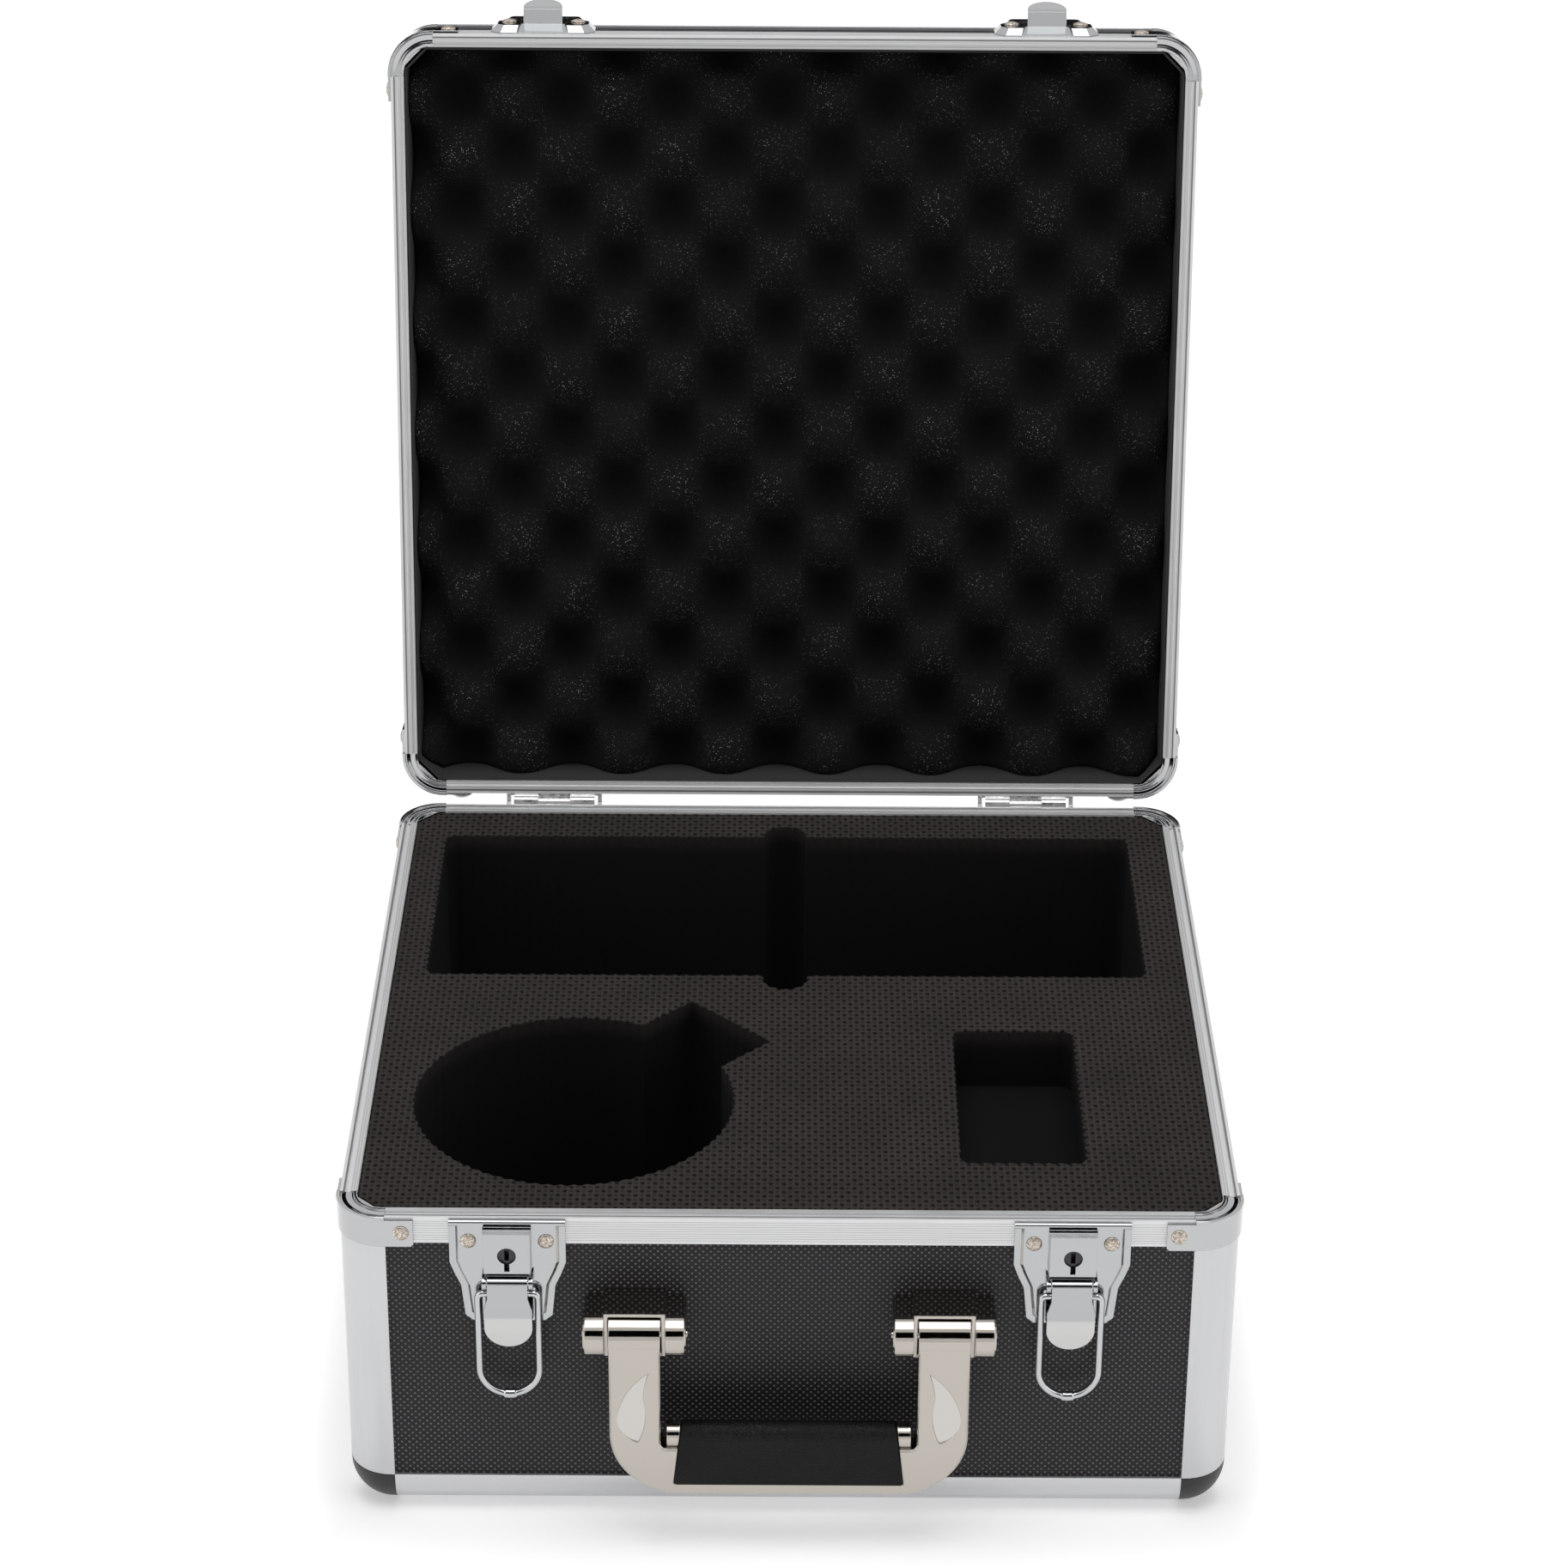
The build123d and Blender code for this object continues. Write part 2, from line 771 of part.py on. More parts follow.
with BuildPart() as crate_foam:
    with BuildSketch(Plane.XY.offset(crate_valley_level)):
        add(foam_outline(crate_width, crate_depth, foam_corner_cut))
    extrude(amount=lid_inside_top - foam_clearance - crate_valley_level)
    with BuildPart(mode=Mode.PRIVATE) as crate_tip:
        for plane, foot, mode in (
            (Plane.XZ, crate_foot_x, Mode.ADD),
            (Plane.YZ, crate_foot_y, Mode.INTERSECT),
        ):
            with BuildSketch(plane):
                Polygon(
                    (-foot / 2, crate_valley_level),
                    (foot / 2, crate_valley_level),
                    (crate_tip_width / 2, crate_tip_level),
                    (-crate_tip_width / 2, crate_tip_level),
                    align=None,
                )
            extrude(amount=foot, both=True, mode=mode)
    add([crate_tip.part.moved(Location((x, y, 0))) for x, y in crate_tips()])
keep_on_lid(crate_foam, "lid_crate_foam")


# Hinges
def hinge_leaf(x_middle, knuckles):
    """A leaf on the base, as (from, to) knuckles along x. The lid's leaf is its mirror image."""
    face = half_depth
    outer = face + hinge_leaf_thickness
    step = axis_z - rim_band - seam_gap - fit
    top = axis_z - hinge_leaf_below_axis
    low = axis_z - hinge_leaf_height
    half_turn = radians(open_angle / 2)
    tip_y = axis_y + hinge_ear_reach * cos(half_turn)
    tip_z = axis_z - hinge_ear_reach * sin(half_turn)
    ring_low = axis_z - hinge_barrel_radius
    bore = hinge_pin_radius + hinge_pin_clearance
    with BuildPart() as piece:
        with BuildSketch(Plane.YZ.offset(x_middle - hinge_leaf_width / 2)):
            with BuildLine():
                Polyline(
                    (face, top),
                    (face, step),
                    (face - board_face, step - board_face / 2),
                    (face - board_face, low),
                    (outer - board_face, low),
                    (outer - board_face, step - board_face),
                    (outer, step - board_face / 2),
                    (outer, top),
                    close=True,
                )
            make_face()
        extrude(amount=hinge_leaf_width)
        for start, stop in knuckles:
            with BuildSketch(Plane.YZ.offset(x_middle + start)):
                with Locations((axis_y, axis_z)):
                    RegularPolygon(
                        hinge_barrel_radius, hinge_barrel_sides, major_radius=False, rotation=15
                    )
                with BuildLine():
                    Polyline(
                        (face, ring_low),
                        (axis_y, ring_low),
                        (axis_y, ring_low + hinge_leaf_thickness),
                        (face, ring_low + hinge_leaf_thickness),
                        close=True,
                    )
                make_face()
                with Locations((axis_y, axis_z)):
                    RegularPolygon(bore, 8, major_radius=False, mode=Mode.SUBTRACT)
            extrude(amount=stop - start)
        for end in (-hinge_leaf_width / 2, hinge_leaf_width / 2 - hinge_ear_thickness):
            with BuildSketch(Plane.YZ.offset(x_middle + end)):
                with BuildLine():
                    Polyline(
                        (face, axis_z - hinge_ear_clearance),
                        (axis_y - hinge_ear_clearance, axis_z - hinge_ear_clearance),
                        (tip_y - hinge_ear_clearance, tip_z - hinge_ear_clearance),
                        (outer, step + 2 * hinge_leaf_thickness),
                        (face, step + 2 * hinge_leaf_thickness),
                        close=True,
                    )
                make_face()
            extrude(amount=hinge_ear_thickness)
        leaf_holes = flat_sided_holes(side_points("back", hinge_base_rivets), rivet_shank_flat)
        add(leaf_holes, mode=Mode.SUBTRACT)
    return piece


half_barrel = hinge_barrel_length / 2
half_knuckle = hinge_middle_knuckle / 2
outer_knuckles = [
    (-half_barrel, -half_knuckle - hinge_side_gap),
    (half_knuckle + hinge_side_gap, half_barrel),
]
middle_knuckle = [(-half_knuckle, half_knuckle)]
for hand, way in (("left", -1), ("right", 1)):
    middle = way * hinge_spacing / 2
    keep(hinge_leaf(middle, outer_knuckles), f"hinge_base_leaf_{hand}")
    lid_leaf = hinge_leaf(middle, middle_knuckle)
    with lid_leaf:
        mirror(about=Plane.XY.offset(axis_z), mode=Mode.REPLACE)
    keep_on_lid(lid_leaf, f"hinge_lid_leaf_{hand}")

with BuildPart() as hinge_pins:
    for way in (-1, 1):
        with BuildSketch(Plane.YZ.offset(way * hinge_spacing / 2 - half_barrel)):
            with Locations((axis_y, axis_z)):
                Circle(hinge_pin_radius)
        extrude(amount=hinge_barrel_length)
keep(hinge_pins, "hinge_pins")

# Draw latches. Heights are measured down from the base's rim, depths out from its face.
plate_top = base_height - latch_plate_top_drop
plate_bottom = plate_top - latch_plate_outline[-1][1]
lever_pivot_z = base_height - lever_pivot_drop
lever_pivot_out = latch_plate_depth + lever_knuckle_clearance + lever_knuckle_radius
lever_pivot_y = -half_depth - lever_pivot_out
bail_pivot_z = lever_pivot_z - bail_pivot_below
lock_plug_z = base_height - lock_plug_drop
cheek_outer = lever_top_width / 2
ear_inner = cheek_outer + lever_ear_gap
ear_outer = ear_inner + ear_thickness
box_front = latch_plate_depth + lock_box_depth
board_front = Plane.XZ.offset(half_depth)


def shield(middle, start, way, outline):
    """A pressed plate's outline, from (half width, distance from its start) points."""
    right = [(middle + half, start + way * along) for half, along in outline]
    left = [(middle - half, start + way * along) for half, along in reversed(outline)]
    with BuildSketch(mode=Mode.PRIVATE) as face:
        Polygon(*right, *left, align=None)
    return face.sketch


def latch_plate(middle):
    """A sheet with a raised panel, a rolled top edge, the lock box and two ears for the lever."""
    roll_z = plate_top - latch_roll_radius
    panel_half = latch_plate_outline[0][0] - latch_panel_inset
    fill_top = base_height - rim_band - fit
    box_middle = base_height - lock_box_top_drop - lock_box_height / 2
    with BuildPart() as piece:
        with BuildSketch(board_front):
            add(shield(middle, plate_top, -1, latch_plate_outline))
        extrude(amount=latch_sheet)
        with BuildSketch(board_front.offset(latch_sheet)):
            add(shield(middle, plate_top, -1, latch_plate_outline))
            offset(amount=-latch_panel_inset, kind=Kind.INTERSECTION, mode=Mode.REPLACE)
            with Locations((middle, roll_z)):
                Rectangle(2 * panel_half, 2 * latch_panel_inset, align=(Align.CENTER, Align.MAX))
        extrude(amount=latch_plate_depth - latch_sheet)
        front_edges = piece.faces().sort_by(Axis.Y)[0].edges()
        chamfer([e for e in front_edges if e.center().Z < roll_z - fit], latch_panel_bevel)
        with BuildSketch(Plane.YZ.offset(middle)):
            with Locations((-half_depth - latch_roll_radius, roll_z)):
                Circle(latch_roll_radius)
        extrude(amount=latch_plate_outline[0][0], both=True)
        with BuildSketch(board_front):
            with Locations((middle, (fill_top + plate_bottom) / 2)):
                Rectangle(lock_box_width, fill_top - plate_bottom - 2 * fit)
        extrude(amount=fit - board_face)
        with BuildSketch(board_front.offset(latch_sheet)):
            with Locations((middle, box_middle)):
                Rectangle(lock_box_width, lock_box_height)
        extrude(amount=box_front - latch_sheet, taper=lock_box_bevel)
        for way in (-1, 1):
            with BuildSketch(Plane.YZ.offset(middle + way * (ear_inner + ear_outer) / 2)):
                with Locations((lever_pivot_y, lever_pivot_z)):
                    Circle(ear_radius)
                with Locations((-half_depth - lever_pivot_out / 2, lever_pivot_z)):
                    Rectangle(lever_pivot_out, 2 * ear_radius)
                with Locations((lever_pivot_y, lever_pivot_z)):
                    RegularPolygon(
                        lever_pin_radius + lever_pin_clearance,
                        8,
                        major_radius=False,
                        mode=Mode.SUBTRACT,
                    )
            extrude(amount=ear_thickness / 2, both=True)
        with BuildSketch(board_front.offset(box_front)):
            with Locations((middle, lock_plug_z)):
                Circle(lock_plug_radius + lock_plug_clearance)
            with Locations((middle, lock_plug_z - key_bit_reach / 2)):
                Rectangle(key_bit_width, key_bit_reach)
        extrude(amount=-lock_plug_length - lock_plug_recess - fit, mode=Mode.SUBTRACT)
        plate_holes = flat_sided_holes(side_points("front", latch_rivets), rivet_shank_flat)
        add(plate_holes, mode=Mode.SUBTRACT)
    return piece


def lock_plug(middle):
    with BuildPart() as piece:
        with BuildSketch(board_front.offset(box_front - lock_plug_recess)):
            with Locations((middle, lock_plug_z)):
                Circle(lock_plug_radius)
        extrude(amount=-lock_plug_length)
        with BuildSketch(board_front.offset(box_front - lock_plug_recess)):
            with Locations((middle, lock_plug_z)):
                Rectangle(key_slot_width, key_slot_height)
        extrude(amount=-key_slot_depth, mode=Mode.SUBTRACT)
    return piece


def latch_lever(middle):
    """The thumb lever: a knuckle on the pin, a folded tongue with a rounded end, and two cheeks."""
    front = lever_pivot_out + lever_knuckle_radius
    crease_z = lever_pivot_z - lever_crease
    tip_z = lever_pivot_z - lever_length
    tip_middle = tip_z + lever_width / 2
    pivot = (lever_pivot_y, lever_pivot_z)
    cheek_back = -half_depth - latch_plate_depth - lever_stop_gap
    cheek_low = bail_pivot_z - bail_wire_radius - lever_cheek
    flare_top = lever_pivot_z - lever_shoulder
    flare_low = flare_top - lever_flare
    with BuildPart() as piece:
        with BuildSketch(Plane.YZ.offset(middle - lever_width / 2)):
            with Locations(pivot):
                Circle(lever_knuckle_radius)
            with BuildLine():
                Polyline(
                    (-half_depth - front, lever_pivot_z),
                    (-half_depth - front, crease_z),
                    (-half_depth - front + lever_tip_tuck, tip_z),
                    (-half_depth - front + lever_tip_tuck + lever_thickness, tip_z),
                    (-half_depth - front + lever_thickness, crease_z),
                    (-half_depth - front + lever_thickness, lever_pivot_z),
                    close=True,
                )
            make_face()
        extrude(amount=lever_width)
        for way in (-1, 1):
            with BuildSketch(Plane.YZ.offset(middle + way * (cheek_outer - lever_cheek / 2))):
                with BuildLine():
                    Polyline(
                        (-half_depth - front, lever_pivot_z),
                        (-half_depth - front, cheek_low),
                        (cheek_back, cheek_low),
                        (cheek_back, lever_pivot_z),
                        close=True,
                    )
                make_face()
                with Locations((lever_pivot_y, bail_pivot_z)):
                    RegularPolygon(
                        bail_wire_radius + bail_hole_clearance,
                        8,
                        major_radius=False,
                        mode=Mode.SUBTRACT,
                    )
            extrude(amount=lever_cheek / 2, both=True)
        with BuildSketch(Plane.YZ.offset(middle - lever_width / 2)):
            with Locations(pivot):
                RegularPolygon(lever_pin_radius + lever_pin_clearance, 8, major_radius=False)
        extrude(amount=lever_width, mode=Mode.SUBTRACT)
        with BuildSketch(board_front):
            with BuildLine():
                Polyline(
                    (middle - lever_width / 2, tip_middle),
                    (middle - lever_width / 2, flare_low),
                    (middle - lever_top_width / 2, flare_top),
                    (middle - lever_top_width / 2, lever_pivot_z + 2 * lever_knuckle_radius),
                    (middle + lever_top_width / 2, lever_pivot_z + 2 * lever_knuckle_radius),
                    (middle + lever_top_width / 2, flare_top),
                    (middle + lever_width / 2, flare_low),
                    (middle + lever_width / 2, tip_middle),
                )
                ThreePointArc(
                    (middle + lever_width / 2, tip_middle),
                    (middle, tip_z),
                    (middle - lever_width / 2, tip_middle),
                )
            make_face()
        extrude(amount=2 * front, mode=Mode.INTERSECT)
    return piece


def lever_pin(middle):
    with BuildPart() as piece:
        with BuildSketch(Plane.YZ.offset(middle)):
            with Locations((lever_pivot_y, lever_pivot_z)):
                Circle(lever_pin_radius)
        extrude(amount=ear_outer, both=True)
    return piece


# The bail's centre line: each leg stands bail_leg from the middle, over a half circle
bail_leg = bail_width / 2
bail_arc_z = bail_pivot_z - bail_drop + bail_leg
bail_end = cheek_outer - lever_cheek - lever_pin_clearance


def bail_line(middle):
    """Points of the wire's centre line between its two straight ends, its bends in short runs."""
    bend_x = bail_leg - bail_top_bend
    bend_z = bail_pivot_z - bail_top_bend
    points = []
    for i in range(bail_bend_runs + 1):
        turn = radians(90) * i / bail_bend_runs
        points.append((bend_x + bail_top_bend * sin(turn), bend_z + bail_top_bend * cos(turn)))
    for i in range(bail_loop_runs // 2 + 1):
        turn = radians(180) * i / bail_loop_runs
        points.append((bail_leg * cos(turn), bail_arc_z - bail_leg * sin(turn)))
    left = [(middle - x, z) for x, z in points]
    return left + [(middle + x, z) for x, z in reversed(points[:-1])]


def bail(middle):
    """The wire loop, its round ends turned in through the lever's cheeks, butt-welded at the bottom."""
    with BuildPart() as piece:
        with BuildLine(board_front.offset(lever_pivot_out)) as wire:
            Polyline(*bail_line(middle))
        with BuildSketch(Plane.YZ.offset(middle - bail_leg + bail_top_bend)):
            with Locations((lever_pivot_y, bail_pivot_z)):
                RegularPolygon(bail_wire_radius, bail_wire_sides)
        sweep(path=wire.line, transition=Transition.RIGHT)
        for way in (-1, 1):
            with BuildSketch(Plane.YZ.offset(middle + way * bail_end)):
                with Locations((lever_pivot_y, bail_pivot_z)):
                    Circle(bail_wire_radius)
            extrude(amount=way * (bail_leg - bail_top_bend - bail_end))
        with BuildSketch(Plane.YZ.offset(middle)):
            with Locations((lever_pivot_y, bail_pivot_z - bail_drop)):
                RegularPolygon(weld_radius, bail_wire_sides)
        extrude(amount=weld_length / 2, both=True)
    return piece


for hand, way in (("left", -1), ("right", 1)):
    middle = way * latch_spacing / 2
    keep(latch_plate(middle), f"latch_plate_{hand}")
    keep(lock_plug(middle), f"lock_plug_{hand}")
    keep(latch_lever(middle), f"latch_lever_{hand}")
    keep(lever_pin(middle), f"lever_pin_{hand}")
    keep(bail(middle), f"bail_{hand}")

# Catches on the lid. The hook's flat floor fits inside the loop's half circle once that is latched.
latched_arc_z = 2 * bail_pivot_z - bail_arc_z
loop_inside = bail_leg - bail_wire_radius
hook_floor_z = latched_arc_z + sqrt(loop_inside**2 - (hook_width / 2) ** 2) - hook_wire_clearance


def hook(middle):
    """A strip bent out of the catch and up to a splayed lip with a fully rounded end."""
    splay = radians(hook_lip_splay)
    lip_depth = hook_thickness / cos(splay)
    lip_top = hook_floor_z + hook_lip_height
    floor_low = hook_floor_z - hook_thickness
    root_y = -half_depth - catch_depth / 2
    corner_y = -half_depth - hook_floor_reach
    tip_y = corner_y - hook_lip_height * tan(splay)
    with BuildPart(mode=Mode.PRIVATE) as strip:
        with BuildSketch(Plane.YZ.offset(middle)):
            with BuildLine():
                Polyline(
                    (root_y, hook_floor_z),
                    (corner_y, hook_floor_z),
                    (tip_y, lip_top),
                    (tip_y - lip_depth, lip_top),
                    (corner_y - lip_depth, hook_floor_z),
                    (corner_y - lip_depth / 2, floor_low),
                    (root_y, floor_low),
                    close=True,
                )
            make_face()
        extrude(amount=hook_width / 2, both=True)
        with BuildSketch(board_front):
            with Locations((middle, lip_top - hook_width / 2)):
                RegularPolygon(hook_width / 2, 24)
                Rectangle(hook_width, hook_width, align=(Align.CENTER, Align.MAX))
        extrude(amount=2 * hook_floor_reach, mode=Mode.INTERSECT)
    return strip.part


def catch_ramp(middle):
    """What is pressed away below the hook: a ramp that narrows towards it."""
    start = lid_rim_level + catch_bottom_rise
    floor_low = hook_floor_z - hook_thickness
    edge_y = -half_depth - catch_ramp_edge
    face_y = -half_depth - catch_depth
    with BuildPart(mode=Mode.PRIVATE) as ramp:
        with BuildSketch(Plane.YZ.offset(middle)):
            with BuildLine():
                Polyline(
                    (edge_y, start - catch_depth),
                    (edge_y, start),
                    (face_y, floor_low),
                    (face_y - catch_depth, floor_low),
                    (face_y - catch_depth, start - catch_depth),
                    close=True,
                )
            make_face()
        extrude(amount=catch_ramp_foot, both=True)
        with BuildSketch(board_front):
            Polygon(
                (middle - catch_ramp_foot, start - fit),
                (middle + catch_ramp_foot, start - fit),
                (middle + catch_ramp_head, floor_low),
                (middle - catch_ramp_head, floor_low),
                align=None,
            )
        extrude(amount=2 * catch_depth, mode=Mode.INTERSECT)
    return ramp.part


def catch(middle):
    with BuildPart() as piece:
        with BuildSketch(board_front):
            add(shield(middle, lid_rim_level + catch_bottom_rise, 1, catch_outline))
        extrude(amount=catch_depth)
        chamfer(piece.faces().sort_by(Axis.Y)[0].edges(), catch_bevel)
        add(catch_ramp(middle), mode=Mode.SUBTRACT)
        add(hook(middle))
        catch_holes = flat_sided_holes(side_points("front", catch_rivets), rivet_shank_flat)
        add(catch_holes, mode=Mode.SUBTRACT)
    return piece


keep_on_lid(catch(-latch_spacing / 2), "lid_catch_left")
keep_on_lid(catch(latch_spacing / 2), "lid_catch_right")

# Handle
pivot_y = -half_depth - handle_pivot_out
arm_outer = handle_spacing / 2 + arm_width / 2
arm_inner = handle_spacing / 2 - arm_width / 2
strip_top = frame_bottom + frame_strip
collar_z = grip_top - grip_roll_radius
collar_y = -half_depth - (grip_front + grip_back) / 2


def handle_mount(middle):
    """A cast mount: a channel round the hub whose lips stop the arm, two lugs, and two studs."""
    block_front = -half_depth - handle_pivot_out + hub_radius + handle_hub_clearance
    block_half = (lug_spacing - lug_thickness) / 2
    room_half = block_half - cheek_thickness
    room_top = handle_pivot_height + hub_radius + mount_top_gap
    room_low = handle_pivot_height - hub_radius - mount_bottom_gap
    top = room_top + mount_top_lip
    low = room_low - mount_bottom_lip
    back_y = -half_depth + board_face
    reach_y = -half_depth - mount_top_reach
    stop_y = -half_depth - frame_back + mount_stop_gap
    with BuildPart() as piece:
        with BuildSketch(Plane.YZ.offset(middle)):
            Polygon(
                (back_y, low),
                (stop_y, low),
                (reach_y, handle_pivot_height + cheek_front_rise),
                (reach_y, top),
                (back_y, top),
                align=None,
            )
        extrude(amount=block_half, both=True)
        with BuildSketch(Plane.YZ.offset(middle)):
            Polygon(
                (block_front, room_low),
                (stop_y, room_low),
                (stop_y, low - fit),
                (2 * reach_y, low - fit),
                (2 * reach_y, room_top),
                (block_front, room_top),
                align=None,
            )
        extrude(amount=room_half, both=True, mode=Mode.SUBTRACT)
        for way in (-1, 1):
            with BuildSketch(Plane.YZ.offset(middle + way * block_half)):
                with Locations((pivot_y, handle_pivot_height)):
                    Circle(lug_radius)
                with Locations(((pivot_y + back_y) / 2, handle_pivot_height)):
                    Rectangle(handle_pivot_out + board_face, 2 * lug_radius)
            extrude(amount=way * lug_thickness)
            outer_face = piece.faces().sort_by(Axis.X)[-1 if way > 0 else 0]
            chamfer([e for e in outer_face.edges() if e.center().Y < -half_depth], lug_edge_cut)
        with BuildSketch(Plane.YZ.offset(middle)):
            with Locations((pivot_y, handle_pivot_height)):
                RegularPolygon(handle_pin_radius + handle_pin_clearance, 8, major_radius=False)
        extrude(amount=lug_spacing, both=True, mode=Mode.SUBTRACT)
        with BuildSketch(board_front.offset(-board_face)):
            with Locations([p for p in mount_studs if p[0] * middle > 0]):
                RegularPolygon(mount_stud_flat, 6, major_radius=False)
        extrude(amount=-base_board)
    return piece


for hand, way in (("left", -1), ("right", 1)):
    keep(handle_mount(way * handle_spacing / 2), f"handle_mount_{hand}")

with BuildPart() as handle_pins:
    pin_half = lug_spacing / 2 + lug_thickness / 2 + handle_pin_stand_out
    for way in (-1, 1):
        with BuildSketch(Plane.YZ.offset(way * handle_spacing / 2)):
            with Locations((pivot_y, handle_pivot_height)):
                Circle(handle_pin_radius)
        extrude(amount=pin_half, both=True)
keep(handle_pins, "handle_pins")


def grip_face(gap):
    """The grip's outline from the front, its ends slanted, with a gap beside them."""
    foot = grip_foot_length / 2 + gap
    head = grip_top_length / 2 + gap
    with BuildSketch(mode=Mode.PRIVATE) as face:
        Polygon(
            (-foot, strip_top), (foot, strip_top), (head, grip_top), (-head, grip_top), align=None
        )
    return face.sketch


def bend_facets():
    """Cutters for the leaf-shaped facets on the bends, each floor sloping in from the outer edge."""
    tilt = radians(facet_tilt)
    start = arm_outer - frame_edge_cut
    corner = (-start, -half_depth - frame_front, 0)
    slope = Plane(corner, x_dir=(cos(tilt), sin(tilt), 0), z_dir=(sin(tilt), -cos(tilt), 0))
    points = [((start - x) / cos(tilt), z) for x, z in facet_outline]
    with BuildPart(mode=Mode.PRIVATE) as cutters:
        with BuildSketch(slope):
            with BuildLine():
                for i in (0, 2, 4, 6):
                    ThreePointArc(points[i], points[i + 1], points[(i + 2) % 8])
            make_face()
        extrude(amount=frame_edge_cut * 4)
        mirror(about=Plane.YZ)
    return cutters.part


# The frame: two arms, a bend with a bevelled edge, and a thin strip that carries the grip
with BuildPart() as handle_frame:
    with BuildSketch(board_front.offset(frame_front)):
        with BuildLine():
            bend_top = frame_bottom + frame_bend
            bend_in = arm_outer - frame_bend
            middle_of_bend = frame_bend * (1 - sqrt(0.5))
            middle_of_notch = frame_notch * (1 - sqrt(0.5))
            Line((0, frame_bottom), (bend_in, frame_bottom))
            ThreePointArc(
                (bend_in, frame_bottom),
                (arm_outer - middle_of_bend, frame_bottom + middle_of_bend),
                (arm_outer, bend_top),
            )
            Polyline(
                (arm_outer, bend_top),
                (arm_outer, handle_pivot_height),
                (arm_inner, handle_pivot_height),
                (arm_inner, frame_shoulder + frame_notch),
            )
            ThreePointArc(
                (arm_inner, frame_shoulder + frame_notch),
                (arm_inner - middle_of_notch, frame_shoulder + middle_of_notch),
                (arm_inner - frame_notch, frame_shoulder),
            )
            Line((arm_inner - frame_notch, frame_shoulder), (0, frame_shoulder))
            mirror(about=Plane.YZ)
        make_face()
    extrude(amount=-frame_thickness)
    chamfer(handle_frame.faces().sort_by(Axis.Y)[0].edges(), frame_edge_cut)
    for way in (-1, 1):
        with BuildSketch(Plane.YZ.offset(way * handle_spacing / 2)):
            with Locations((pivot_y, handle_pivot_height)):
                Circle(hub_radius)
        extrude(amount=arm_width / 2, both=True)
        with BuildSketch(Plane.YZ.offset(way * (arm_inner - frame_notch))):
            with Locations((collar_y, collar_z)):
                Circle(collar_radius)
        extrude(amount=way * (grip_top_length / 2 - arm_inner + frame_notch - fit))
    with BuildSketch(board_front):
        add(grip_face(grip_end_gap))
    extrude(amount=2 * frame_front, mode=Mode.SUBTRACT)
    add(bend_facets(), mode=Mode.SUBTRACT)
    with BuildSketch(Plane.YZ):
        with Locations((pivot_y, handle_pivot_height)):
            RegularPolygon(handle_pin_radius + handle_pin_clearance, 8, major_radius=False)
    extrude(amount=2 * arm_outer, both=True, mode=Mode.SUBTRACT)
keep(handle_frame, "handle_frame")

with BuildPart() as handle_grip:
    with BuildSketch(Plane.YZ):
        with BuildLine():
            front_y = -half_depth - grip_front
            back_y = -half_depth - grip_back
            Polyline(
                (collar_y - grip_roll_radius, collar_z),
                (front_y, strip_top + frame_strip),
                (front_y, strip_top),
                (back_y, strip_top),
                (back_y, strip_top + frame_strip),
                (collar_y + grip_roll_radius, collar_z),
            )
            ThreePointArc(
                (collar_y + grip_roll_radius, collar_z),
                (collar_y, grip_top),
                (collar_y - grip_roll_radius, collar_z),
            )
        make_face()
    extrude(amount=grip_foot_length / 2, both=True)
    with BuildSketch(board_front):
        add(grip_face(0))
    extrude(amount=2 * frame_front, mode=Mode.INTERSECT)
keep(handle_grip, "handle_grip")
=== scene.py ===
import json
from math import cos, pi, radians, sin

import bpy
import numpy as np
from mathutils import Euler, Matrix, Vector
from mathutils.geometry import delaunay_2d_cdt


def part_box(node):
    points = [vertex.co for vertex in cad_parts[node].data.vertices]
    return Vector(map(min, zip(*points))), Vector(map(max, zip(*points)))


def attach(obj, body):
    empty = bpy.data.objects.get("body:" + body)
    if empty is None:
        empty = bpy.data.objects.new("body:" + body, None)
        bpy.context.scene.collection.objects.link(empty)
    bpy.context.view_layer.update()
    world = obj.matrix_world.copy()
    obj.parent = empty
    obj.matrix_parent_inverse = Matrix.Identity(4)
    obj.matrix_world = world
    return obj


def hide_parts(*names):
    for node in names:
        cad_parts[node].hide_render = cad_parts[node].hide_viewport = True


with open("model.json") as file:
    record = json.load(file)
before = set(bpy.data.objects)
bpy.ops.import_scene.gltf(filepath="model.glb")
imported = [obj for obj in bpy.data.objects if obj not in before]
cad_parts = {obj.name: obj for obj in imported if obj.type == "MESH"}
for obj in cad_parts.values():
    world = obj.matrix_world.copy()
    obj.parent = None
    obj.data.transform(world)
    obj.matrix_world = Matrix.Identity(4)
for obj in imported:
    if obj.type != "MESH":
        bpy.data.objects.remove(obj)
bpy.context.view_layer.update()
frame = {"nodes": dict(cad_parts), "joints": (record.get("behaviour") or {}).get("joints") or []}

# The photograph's viewpoint, solved from the case's own edges: a long lens a good metre away,
# looking down at the open case from in front of its latches.
MM = 0.001
PHOTO_WIDTH = 1826
FOCAL_PIXELS = 5087.0
CAMERA_PLACE = Vector((-5.5, -1363.3, 907.4)) * MM
LOOK_DOWN, LOOK_ASIDE, ROLL = radians(27.24), radians(0.119), radians(0.375)

